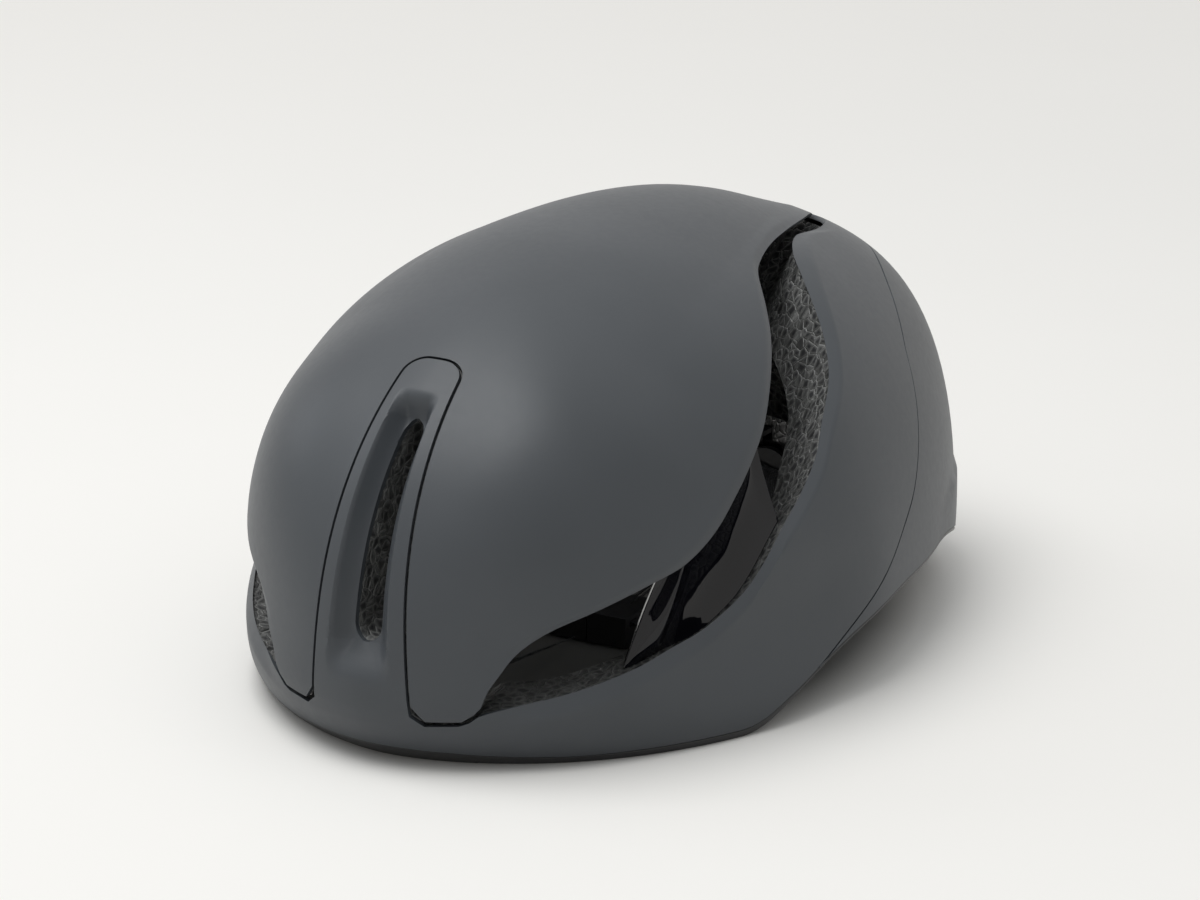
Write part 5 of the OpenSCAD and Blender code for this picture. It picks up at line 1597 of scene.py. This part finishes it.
@dataclass
class Harness:
    """The webbing, laid along the same listed routes as the part has."""

    head: HeadSpace
    wardrobe: Wardrobe
    stitching: Stitching
    width: float = 15.0
    thick: float = 1.4
    anchor_h: float = 9.0
    strap_inset: float = 3.9
    chin_z: float = 7.9
    socket_z: float = 5.0
    front_anchor: tuple[float, float] = (-52.0, 20.0)
    rear_anchor: tuple[float, float] = (58.0, 36.0)
    steps: int = 120
    ring: int = 28
    edge_power: float = 0.35
    face_power: float = 0.8
    face_share: float = 0.96
    tack_rows: tuple[int, ...] = (4, 7, 10)
    tack_half: float = 5.5
    tack_proud: float = 0.05

    def wall_angle(self, at: tuple[float, float]) -> float:
        """Turn of the head space's wall at a place."""
        reach = self.head.front if at[0] < 0 else self.head.rear
        x = self.head.half(at[0], at[1] - self.head.outer.widest_z)
        return math.atan2(at[0] / reach**2, 4 * x / self.head.width**2)

    def wall_at(self, at: tuple[float, float]) -> Array:
        """Place just inside the wall."""
        a = self.wall_angle(at)
        x = self.head.half(at[0], at[1] - self.head.outer.widest_z) - self.strap_inset * math.cos(a)
        return np.array([x, self.head.outer.centre[1] + at[0] - self.strap_inset * math.sin(a), at[1]])

    def across(self, at: tuple[float, float]) -> tuple[float, float, float]:
        """Way that the webbing's width points at an anchor."""
        a = self.wall_angle(at)
        return (-math.sin(a), math.cos(a), 0.0)

    def front_route(self) -> list[tuple]:
        """Places and width directions of the front strap."""
        top, way = self.wall_at(self.front_anchor), self.across(self.front_anchor)
        return [
            (top + (0, 0, self.anchor_h / 2), way), (top - (0, 0, self.anchor_h / 2 - 1), way),
            (top + (-0.5, 1, -7), (0.1, 1, 0)), (top + (-1.4, 3, -11.5), (-0.2, 1, 0.2)),
            (top + (-2.6, 7, -14.6), (-0.85, 0.35, 0.1)), ((60, -37, 2.4), (-1, -0.1, 0)),
            ((57.5, -28, 1.5), (-1, 0, 0)), ((55, -19, 1.5), (-1, 0, 0)), ((53.5, -13, 2.2), (-1, 0, 0)),
            ((53, -9, 3), (-1, 0, 0)), ((53, -4, 3), (-1, 0, 0)),
        ]

    def rear_route(self) -> list[tuple]:
        """Places and width directions of the rear strap."""
        top, way = self.wall_at(self.rear_anchor), self.across(self.rear_anchor)
        return [
            (top + (0, 0, self.anchor_h / 2), way), (top - (0, 0, self.anchor_h / 2 - 1), way),
            (top + (-0.6, -1, -12), way), (top + (-1, -3, -21), (-0.6, 1, 0)),
            (top + (-1, -7, -28.5), (-0.8, 0.5, 0.1)), ((57, 43, 2.6), (-1, 0.2, 0)),
            ((56.3, 36, 1.5), (-1, 0, 0)), ((55, 27, 1.5), (-1, 0, 0)), ((53.5, 21, 2.2), (-1, 0, 0)),
            ((53, 17, 3), (-1, 0, 0)), ((53, 12, 3), (-1, 0, 0)),
        ]

    def chin_route(self) -> list[tuple]:
        """Places and width directions of the strap into the plug."""
        way = (0, 1, 0)
        return [
            ((44.6, 4, 3), way), ((41, 4, 3.2), way), ((38.5, 2.6, 5), way), ((36, 1, 7.1), way),
            ((33.5, 0.2, self.chin_z), way), ((31.5, 0, self.chin_z), way), ((8, 0, self.chin_z), way),
        ]

    def socket_route(self) -> list[tuple]:
        """Places and width directions of the strap into the socket."""
        way = (0, 1, 0)
        return [
            ((44.6, 4, 3), way), ((41, 4, 3.1), way), ((36, 3, 3.6), way), ((30, 1.2, 4.6), way),
            ((24, 0.1, self.socket_z), way), ((20, 0, self.socket_z), way), ((14.6, 0, self.socket_z), way),
        ]

    def smooth_route(self, route: list[tuple], side: Side, steps: int) -> tuple[Array, Array, Array]:
        """Even points along a smooth route, with the ways of its width and thickness."""
        places = np.array([p for p, _ in route], float)
        ways = np.array([w for _, w in route], float)
        far = np.concatenate([[0], np.cumsum(np.linalg.norm(np.diff(places, axis=0), axis=1))])
        s = np.linspace(0, far[-1], steps)
        line = np.stack([follow(list(zip(far, places[:, k])), s) for k in range(3)], -1)
        way = np.stack([np.interp(s, far, ways[:, k]) for k in range(3)], -1)
        line[:, 0] *= side.value
        way[:, 0] *= side.value
        run = unit(np.gradient(line, axis=0))
        across = unit(way - (way * run).sum(1, keepdims=True) * run)
        return line, across, np.cross(run, across)

    def strap(self, name: str, node: str, route: list[tuple], side: Side) -> None:
        """Builds one strap with a stitched end."""
        steps, ring = self.steps, self.ring
        line, across, up = self.smooth_route(route, side, steps)
        a = np.linspace(0, 2 * np.pi, ring, endpoint=False)
        wide = np.sign(np.cos(a)) * np.abs(np.cos(a)) ** self.edge_power * self.width / 2
        high = np.sign(np.sin(a)) * np.abs(np.sin(a)) ** self.face_power * self.thick / 2 * self.face_share
        sideways = wide[None, :, None] * across[:, None, :]
        rings = line[:, None, :] + sideways + high[None, :, None] * up[:, None, :]
        points = np.concatenate([rings.reshape(-1, 3), line[:1], line[-1:]])
        faces = []
        for i in range(steps - 1):
            for k in range(ring):
                n = (k + 1) % ring
                faces.append((i * ring + k, i * ring + n, (i + 1) * ring + n, (i + 1) * ring + k))
        last, start, end = (steps - 1) * ring, steps * ring, steps * ring + 1
        for k in range(ring):
            n = (k + 1) % ring
            faces.append((n, k, start))
            faces.append((last + k, last + n, end))
        piece = object_from(name, points, faces)
        quads = np.array([f for f in faces if len(f) == 4])
        if signed_volume(points, quads) < 0:
            piece.data.flip_normals()
        self.map_strap(piece, steps, ring, wide, line)
        self.wardrobe.fit(piece, Finish.WEBBING, "helmet", node)
        tack = [
            line[i] + across[i] * x + up[i] * s * (self.thick / 2 + self.tack_proud)
            for s in (-1, 1) for i in self.tack_rows for x in (-self.tack_half, self.tack_half)
        ]
        rows = [np.array(tack[i : i + 2]) for i in range(0, len(tack), 2)]
        thread = self.stitching.sew(name + " bar tacks", rows, self.wardrobe.materials[Finish.WEBBING])
        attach(thread, "helmet")

    def map_strap(self, piece: bpy.types.Object, steps: int, ring: int, wide: Array, line: Array) -> None:
        """Gives a strap its own map: millimetres along it and across it."""
        far = np.concatenate([[0], np.cumsum(np.linalg.norm(np.diff(line, axis=0), axis=1))])
        uv = piece.data.uv_layers.new(name="Strap")
        corners = np.empty(len(piece.data.loops), int)
        piece.data.loops.foreach_get("vertex_index", corners)
        inside = corners < steps * ring
        along = np.where(inside, far[np.minimum(corners // ring, steps - 1)], 0.0)
        cross = np.where(inside, wide[corners % ring], 0.0)
        uv.data.foreach_set("uv", np.stack([along, cross], -1).ravel())

    def make(self) -> None:
        """Builds the webbing."""
        for side in Side:
            word = side.name.lower()
            self.strap("Front strap " + word, "front_strap_" + word, self.front_route(), side)
            self.strap("Rear strap " + word, "rear_strap_" + word, self.rear_route(), side)
        self.strap("Chin strap left", "chin_strap_left", self.chin_route(), Side.LEFT)
        self.strap("Chin strap right", "chin_strap_right", self.socket_route(), Side.RIGHT)


# Fittings


@dataclass
class Fittings:
    """Moulded and metal fittings, taken from the frame and given rounded edges."""

    frame: dict
    wardrobe: Wardrobe
    rounded: dict[str, float] = field(
        default_factory=lambda: {
            "strap_divider_left": 0.6, "strap_divider_right": 0.6, "divider_lever_left": 0.5,
            "divider_lever_right": 0.5, "buckle_socket": 0.9, "buckle_plug": 0.9, "dial_housing": 0.8,
            "dial_cover": 0.4, "dial_knob": 0.35, "cradle": 0.5,
            "fit_arm_left": 0.25, "fit_arm_right": 0.25,
            "temple_link_left": 0.35, "temple_link_right": 0.35, "temple_anchor_left": 0.3,
            "temple_anchor_right": 0.3, "strap_anchors_front": 0.4, "strap_anchors_rear": 0.4,
        }
    )
    plain: dict[str, Finish] = field(
        default_factory=lambda: {
            "pad_fasteners": Finish.HOOK, "arm_pins": Finish.STEEL, "dial_pinion": Finish.FITTINGS,
            "dial_screw": Finish.STEEL, "click_ring": Finish.STEEL, "socket_magnet": Finish.STEEL,
            "plug_magnet": Finish.STEEL,
        }
    )
    flat_angle: float = 1.5
    edge_angle: float = 38

    def body_of(self, node: str) -> str:
        """Body that carries a node."""
        bodies = self.frame["record"]["behaviour"]["bodies"]
        return next(body for body, nodes in bodies.items() if node in nodes)

    def softened(self, node: str, width: float) -> bpy.types.Object:
        """Copy of a node with its flat faces joined and its edges rounded."""
        source = self.frame["nodes"][node].data
        mesh = source.copy()
        shape = bmesh.new()
        shape.from_mesh(mesh)
        bmesh.ops.remove_doubles(shape, verts=shape.verts, dist=1e-6)
        bmesh.ops.dissolve_limit(
            shape, angle_limit=math.radians(self.flat_angle), verts=shape.verts, edges=shape.edges,
            delimit={"NORMAL"},
        )
        shape.to_mesh(mesh)
        shape.free()
        mesh.name = node.capitalize()
        piece = bpy.data.objects.new(mesh.name, mesh)
        bpy.context.scene.collection.objects.link(piece)
        mesh.polygons.foreach_set("use_smooth", [True] * len(mesh.polygons))
        round_edges(piece, width, 2, self.edge_angle)
        return piece

    def make(self) -> None:
        """Dresses every fitting."""
        for node, width in self.rounded.items():
            self.wardrobe.fit(self.softened(node, width), Finish.FITTINGS, self.body_of(node), node)
        for node, finish in self.plain.items():
            self.wardrobe.repaint(self.frame["nodes"][node], finish)


# Studio


@dataclass
class Studio:
    """Camera at the photograph's angle, soft lamps and a pale table."""

    azimuth: float = 29.05
    elevation: float = 17.80
    roll: float = 0.907
    distance: float = 1662.4
    aim_right: float = 1.782
    aim_z: float = 60.86
    lens: float = 157.1
    table: tuple = (0.90, 0.875, 0.835)
    table_half: float = 5000.0
    table_glow: float = 0.22
    far_glow: float = 0.6
    near_ring: tuple[float, float] = (0.8, 1.4)
    far_ring: tuple[float, float] = (4.0, 16.0)
    # Painted shadow under the helmet: within this ring of its footprint the table blends to the dark grey
    # below.
    cover_ring: tuple[float, float] = (0.7, 0.95)
    painted_shadow_colour: tuple = (0.20, 0.195, 0.185)
    footprint: tuple[float, float] = (0.102, 0.144)
    backdrop: tuple = (0.90, 0.885, 0.86)
    room: tuple = (0.93, 0.97, 1.0)
    room_low: float = 0.25
    room_light: tuple[float, float] = (0.02, 0.95)
    seen_light: tuple[float, float] = (0.93, 1.0)

    def camera(self) -> None:
        """Places the camera."""
        a, e, r = (math.radians(v) for v in (self.azimuth, self.elevation, self.roll))
        back = Vector((math.sin(a) * math.cos(e), -math.cos(a) * math.cos(e), math.sin(e)))
        right = Vector((math.cos(a), math.sin(a), 0))
        up = back.cross(right)
        across = right * math.cos(r) + up * math.sin(r)
        over = up * math.cos(r) - right * math.sin(r)
        place = (right * self.aim_right + Vector((0, 0, self.aim_z)) + back * self.distance) * MM
        data = bpy.data.cameras.new("Camera")
        data.sensor_width = 36
        data.lens = self.lens
        data.clip_start, data.clip_end = 0.05, 50
        camera = bpy.data.objects.new("Camera", data)
        camera.matrix_world = Matrix(
            (
                (across.x, over.x, back.x, place.x),
                (across.y, over.y, back.y, place.y),
                (across.z, over.z, back.z, place.z),
                (0, 0, 0, 1),
            )
        )
        bpy.context.scene.collection.objects.link(camera)
        bpy.context.scene.camera = camera

    def lamp(self, name: str, place: tuple, size: tuple, power: float, colour: tuple = (1, 1, 1)) -> None:
        """Hangs one soft lamp that faces the helmet."""
        data = bpy.data.lights.new(name, "AREA")
        data.shape = "RECTANGLE"
        data.size, data.size_y = size
        data.energy = power
        data.color = colour
        lamp = bpy.data.objects.new(name, data)
        lamp.location = place
        lamp.rotation_euler = (Vector((0, 0, 0.06)) - Vector(place)).to_track_quat("-Z", "Y").to_euler()
        bpy.context.scene.collection.objects.link(lamp)

    def seen_rays(self, tree: bpy.types.NodeTree, rays: bpy.types.Node) -> bpy.types.NodeSocket:
        """Adds up the rays that look at the background: from the camera, or off gloss, or through glass."""
        total = rays.outputs["Is Camera Ray"]
        for name in ("Is Glossy Ray", "Is Transmission Ray"):
            more = tree.nodes.new("ShaderNodeMath")
            more.operation = "MAXIMUM"
            tree.links.new(total, more.inputs[0])
            tree.links.new(rays.outputs[name], more.inputs[1])
            total = more.outputs[0]
        return total

    def glow_share(self, s: Shader) -> tuple[bpy.types.NodeSocket, bpy.types.NodeSocket]:
        """Share of plain colour in the table, which grows with distance, and the share of the table outside
        the painted shadow under the helmet.
        """
        spread = s.node("ShaderNodeVectorMath", operation="MULTIPLY")
        far = s.node("ShaderNodeVectorMath", operation="LENGTH")
        s.link(s.place(), spread.inputs[0])
        spread.inputs[1].default_value = tuple(1 / r for r in self.footprint) + (0.0,)
        s.link(spread.outputs["Vector"], far.inputs[0])
        # The last ring is the edge of the painted shadow: 0 under the helmet, 1 outside it.
        near, wide, outside_painted_shadow = (
            s.remap(far.outputs["Value"], 0.0, most) for most in (self.table_glow, self.far_glow, 1.0)
        )
        for step, ring in ((near, self.near_ring), (wide, self.far_ring), (outside_painted_shadow, self.cover_ring)):
            step.node.inputs["From Min"].default_value, step.node.inputs["From Max"].default_value = ring
        return s.maths("ADD", near, wide), outside_painted_shadow

    def floor(self) -> None:
        """Lays the pale table, with a painted shadow under the helmet's footprint."""
        s = Shader("Pale table")
        light = tuple(min(1.0, c * 1.02) for c in self.table)
        bare = s.ramp(s.noise(5.0, 4.0), ((0.3, self.table), (0.8, light)))
        # Painted shadow: inside the helmet's footprint the table's colour blends to a dark grey.
        shade = s.node("ShaderNodeMix", data_type="RGBA")
        share, cover = self.glow_share(s)
        s.link(cover, shade.inputs["Factor"])
        shade.inputs["A"].default_value = (*self.painted_shadow_colour, 1)
        s.link(bare, shade.inputs["B"])
        s.link(shade.outputs["Result"], s.surface.inputs["Base Color"])
        s.set(Roughness=0.6, IOR=1.3)
        glow, blend = s.node("ShaderNodeEmission"), s.node("ShaderNodeMixShader")
        glow.inputs["Color"].default_value = (*self.table, 1)
        amount = s.maths("MULTIPLY", self.seen_rays(s.tree, s.node("ShaderNodeLightPath")), share)
        out = next(n for n in s.tree.nodes if n.type == "OUTPUT_MATERIAL")
        s.link(amount, blend.inputs["Fac"])
        s.link(s.surface.outputs["BSDF"], blend.inputs[1])
        s.link(glow.outputs["Emission"], blend.inputs[2])
        s.link(blend.outputs["Shader"], out.inputs["Surface"])
        half = self.table_half
        corners = np.array([(-half, -half, 0), (half, -half, 0), (half, half, 0), (-half, half, 0)])
        floor = object_from("Table", corners, [(0, 1, 2, 3)], smooth=False)
        floor.data.materials.append(s.material)

    def world(self) -> None:
        """Fills the room with even light and shows a pale backdrop."""
        world = bpy.data.worlds.new("Room")
        world.use_nodes = True
        tree = world.node_tree
        tree.nodes.clear()
        out = tree.nodes.new("ShaderNodeOutputWorld")
        room, seen = tree.nodes.new("ShaderNodeBackground"), tree.nodes.new("ShaderNodeBackground")
        room.inputs["Color"].default_value = (*self.room, 1)
        seen.inputs["Color"].default_value = (*self.backdrop, 1)
        way, parts = tree.nodes.new("ShaderNodeTexCoord"), tree.nodes.new("ShaderNodeSeparateXYZ")
        tree.links.new(way.outputs["Generated"], parts.inputs["Vector"])
        for shader, low, high in ((room, *self.room_light), (seen, *self.seen_light)):
            height = tree.nodes.new("ShaderNodeMapRange")
            height.inputs["From Min"].default_value = self.room_low
            height.inputs["To Min"].default_value = low
            height.inputs["To Max"].default_value = high
            tree.links.new(parts.outputs["Z"], height.inputs["Value"])
            tree.links.new(height.outputs["Result"], shader.inputs["Strength"])
        rays, pick = tree.nodes.new("ShaderNodeLightPath"), tree.nodes.new("ShaderNodeMixShader")
        tree.links.new(self.seen_rays(tree, rays), pick.inputs["Fac"])
        tree.links.new(room.outputs[0], pick.inputs[1])
        tree.links.new(seen.outputs[0], pick.inputs[2])
        tree.links.new(pick.outputs[0], out.inputs["Surface"])
        bpy.context.scene.world = world

    def make(self) -> None:
        """Sets up the studio."""
        self.camera()
        self.floor()
        self.world()
        self.lamp("Overhead", (-0.30, -0.35, 1.45), (1.2, 0.9), 13.5, (0.98, 0.99, 1.0))
        self.lamp("Left window", (-1.5, -0.3, 0.9), (0.9, 0.7), 3.0, (0.90, 0.95, 1.0))
        bpy.context.scene.view_settings.view_transform = "Standard"


def main() -> None:
    """Builds the helmet in order."""
    logging.basicConfig(level=logging.INFO, format="%(name)s: %(message)s")
    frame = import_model()
    wardrobe = Wardrobe()
    outer = OuterForm()
    head = HeadSpace(outer)
    shells = OuterShells(outer, Lines(outer), wardrobe)
    shells.make()
    foam = FoamCore(shells, head, wardrobe)
    foam.make()
    VentBridges(foam, wardrobe).make()
    ComfortPads(head, wardrobe, Stitching(2.2, 1.4, 0.16)).make()
    Harness(head, wardrobe, Stitching(0.9, 0.75, 0.22)).make()
    Fittings(frame, wardrobe).make()
    Studio().make()


if __name__ == "__main__":
    main()
